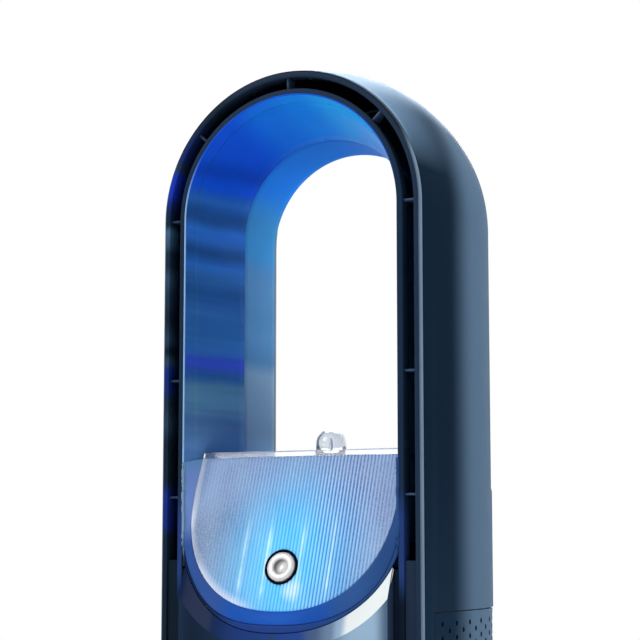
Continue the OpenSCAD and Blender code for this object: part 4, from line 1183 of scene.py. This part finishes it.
class FAN_OT_grilles(bpy.types.Operator):
    """Builds the perforated intake grilles, the rear panel over them and the skirt"""
    bl_idname = "fan.grilles"
    bl_label = "Grilles and skirt"

    def perforated(self, start, low, high):
        """A flat sheet of diamonds with a hole in each, cut to a grille's size."""
        sizes = bpy.context.scene.fan_sizes
        length = plan_length(start)
        dx, dz = sizes.hole_across, sizes.hole_up / 2
        diamond = 2 * dx * dz
        n = int(length / dx) + int((high - low) / dz) + 8
        first = Vector((sizes.hole_start, high - 9.4 * MM))

        def slanted(x, y):
            i, j = x * n, y * n
            return Vector((first.x + (i + j) * dx, first.y + (i - j) * dz + dz, 0))
        bm = sheet(2 * n, 2 * n, slanted)
        gone = [f for f in bm.faces if not (
            -dx < f.calc_center_median().x < length + dx
            and low - 2 * dz < f.calc_center_median().y < high + 2 * dz)]
        bmesh.ops.delete(bm, geom=gone, context="FACES")
        for point, normal in (((0, 0, 0), (-1, 0, 0)), ((length, 0, 0), (1, 0, 0)),
                              ((0, low, 0), (0, -1, 0)), ((0, high, 0), (0, 1, 0))):
            cut(bm, point, normal)
        whole = [f for f in bm.faces if f.calc_area() > 0.99 * diamond]
        bmesh.ops.inset_individual(bm, faces=whole, thickness=MM, use_even_offset=False)
        bmesh.ops.subdivide_edges(bm, edges=list({e for f in whole for e in f.edges}), cuts=1)
        holes = [f for f in bm.faces if len(f.verts) == 8 and f.calc_area() > 0.3 * diamond]
        for f in holes:
            centre = f.calc_center_bounds()
            for v in f.verts:
                turn = Vector([0 if abs(c) < 0.3 * MM else math.copysign(1, c)
                               for c in v.co - centre])
                v.co = centre + turn.normalized() * sizes.hole_r
        bmesh.ops.delete(bm, geom=holes, context="FACES_ONLY")
        return bm

    def execute(self, context):
        start = STRIP_D + 0.3 * MM
        # The second finish paints the insides and the hole walls dark as painted shade
        paint = [bpy.data.materials[name] for name in ("shell_paint", "shell_inside")]
        for side, name in ((1, "right"), (-1, "left")):
            bm = self.perforated(start, SKIRT_Z + 0.3 * MM, SEAM_Z - 0.6 * MM)
            wrap(bm, start)
            if side < 0:
                bmesh.ops.scale(bm, vec=(-1, 1, 1), verts=bm.verts)
            turn_out(bm, from_core)
            piece(name + "_intake_skin", bm, name + "_intake", "shell_blue", paint,
                  [name + "_grille"], [wall(2.4 * MM, material_offset=1, material_offset_rim=1),
                                       rounding(None, 1, 60, harden_normals=True)])
        bm = back_band(start, LOW, SKIRT_Z, 160)
        turn_out(bm, from_core)
        piece("skirt_band", bm, "column", "shell_blue", paint, ["skirt"],
              [wall(BACK_WALL), rounding()])
        bm = back_band(SHELL_END + GAP, SEAM_Z, DECK_Z, 140)
        cut(bm, (0, Y0 + REAR_D + GAP, DECK_Z - 3.6 * MM), Vector((0, REAR_SLOPE, 1)).normalized())
        turn_out(bm, from_core)
        piece("rear_skin", bm, "column", "shell_blue", paint, ["rear_panel"],
              [wall(BACK_WALL), rounding()])
        return {"FINISHED"}


class FAN_OT_solids(bpy.types.Operator):
    """Gives every solid that stays its own finish"""
    bl_idname = "fan.solids"
    bl_label = "Finish the solids"

    def execute(self, context):
        made = bpy.data.materials
        kinds = (
            (moulded("plain_steel", (0.45, 0.47, 0.5), 0.35, 0.9, grain=1800),
             "button_spring", "chassis_screws", "motor_bearings", "rotor_shaft", "rotor_core",
             "pivot_retainer", "foot_screws"),
            (moulded("duct_moulding", (0.07, 0.085, 0.1), 0.55),
             "chassis", "blower_housing", "air_splitter", "stator_vanes", "turntable_plate"),
            (moulded("black_moulding", (0.02, 0.022, 0.025), 0.5),
             "button_switch", "mains_inlet"),
            (moulded("white_moulding", (0.78, 0.8, 0.82), 0.5),
             "light_box", "light_board", "button_housing"),
            (moulded("acetal", (0.72, 0.7, 0.62), 0.4), "osc_pinion", "slip_ring", "foot_gear"),
            (moulded("cast_alloy", (0.34, 0.36, 0.38), 0.45, 0.8, grain=500, bump=0.15),
             "motor_can", "osc_motor"),
            (made["gasket_rubber"], "motor_isolators", "rubber_feet"),
            (moulded("foot_satin", tint("foot"), 0.42), "foot_pan", "foot_cover"),
            (side_lit("filler_satin", "filler_left", "filler", 0.4, 1.08), "slot_fillers"),
            (made["rear_paint"], "rear_sill"),
            (moulded("deck_gloss", tint("deck"), 0.25), "opening_deck"),
            (made["clear_moulding"], "panel_strip"),
            (moulded("lamp_face", (0.9, 0.82, 0.5), 0.3), "led_chips"),
            (copper_finish(), "motor_winding"),
            (moulded("impeller_moulding", (0.014, 0.018, 0.023), 0.4), "impeller"),
            (moulded("board_green", (0.012, 0.13, 0.045), 0.4), "control_board"),
            (pleated("filter_medium", (0.035, 0.04, 0.046)), "left_filter", "right_filter"),
            (moulded("cast_iron", (0.07, 0.075, 0.08), 0.6, 0.6, grain=300, bump=0.3),
             "ballast_plate"))
        for mat, *nodes in kinds:
            for node in nodes:
                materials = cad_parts[node].data.materials
                materials.clear()
                materials.append(mat)
        return {"FINISHED"}


class FAN_OT_stage(bpy.types.Operator):
    """Sets the floor, the lights, the white surroundings and the camera"""
    bl_idname = "fan.stage"
    bl_label = "Stage"

    def aimed(self, name, data, place, target):
        """Adds a lamp or a camera that looks at its target."""
        obj = bpy.data.objects.new(name, data)
        obj.location = place
        obj.rotation_euler = (Vector(target) - Vector(place)).to_track_quat("-Z", "Y").to_euler()
        bpy.context.scene.collection.objects.link(obj)
        return obj

    def execute(self, context):
        scene = context.scene
        scene.view_settings.view_transform = "Standard"
        bm = bmesh.new()
        bmesh.ops.create_circle(bm, cap_ends=True, segments=96, radius=3.0)
        mesh = bpy.data.meshes.new("floor")
        bm.to_mesh(mesh)
        bm.free()
        mesh.materials.append(floor_finish())
        floor = bpy.data.objects.new("floor", mesh)
        scene.collection.objects.link(floor)

        world = bpy.data.worlds.new("studio")
        scene.world = world
        world.use_nodes = True
        sky = Nodes(world.node_tree)
        sky.fill(sky.tree.nodes["Background"], {
            "Color": WHITE, "Strength": sky.remap(sky.seen_rays(), 0, 1, 0.55, 1)})

        for name, place, size, power in LAMPS:
            lamp = bpy.data.lights.new(name, "AREA")
            lamp.energy = power
            lamp.size = size
            self.aimed(name, lamp, place, LAMP_TARGET)
        lens = bpy.data.cameras.new("view")
        lens.lens = FOCAL_LENGTH
        lens.sensor_width = SENSOR
        scene.camera = self.aimed("view", lens, CAMERA_PLACE, CAMERA_TARGET)
        return {"FINISHED"}


OPERATORS = (FAN_OT_stage, FAN_OT_shell, FAN_OT_rims, FAN_OT_opening, FAN_OT_panel,
             FAN_OT_surround, FAN_OT_button, FAN_OT_dome, FAN_OT_grilles, FAN_OT_solids)


class FAN_PT_sidebar(bpy.types.Panel):
    """Lists the fan's sizes, colours and pieces"""
    bl_idname = "FAN_PT_sidebar"
    bl_label = "Tower fan"
    bl_space_type = "VIEW_3D"
    bl_region_type = "UI"
    bl_category = "Tower fan"

    def draw(self, context):
        for group in (context.scene.fan_sizes, context.scene.fan_colours):
            box = self.layout.box()
            for key in group.__annotations__:
                box.prop(group, key)
        for operator in OPERATORS:
            self.layout.operator(operator.bl_idname)


CLASSES = (FanSizes, FanColours, *OPERATORS, FAN_PT_sidebar)


def register():
    for cls in CLASSES:
        bpy.utils.register_class(cls)
    bpy.types.Scene.fan_sizes = bpy.props.PointerProperty(type=FanSizes)
    bpy.types.Scene.fan_colours = bpy.props.PointerProperty(type=FanColours)


def unregister():
    del bpy.types.Scene.fan_colours
    del bpy.types.Scene.fan_sizes
    for cls in reversed(CLASSES):
        bpy.utils.unregister_class(cls)


def main():
    register()
    bpy.ops.fan.stage()
    bpy.ops.fan.shell()
    bpy.ops.fan.rims()
    bpy.ops.fan.opening()
    bpy.ops.fan.panel()
    bpy.ops.fan.surround()
    bpy.ops.fan.button()
    bpy.ops.fan.dome()
    bpy.ops.fan.grilles()
    bpy.ops.fan.solids()


if __name__ == "__main__":
    main()
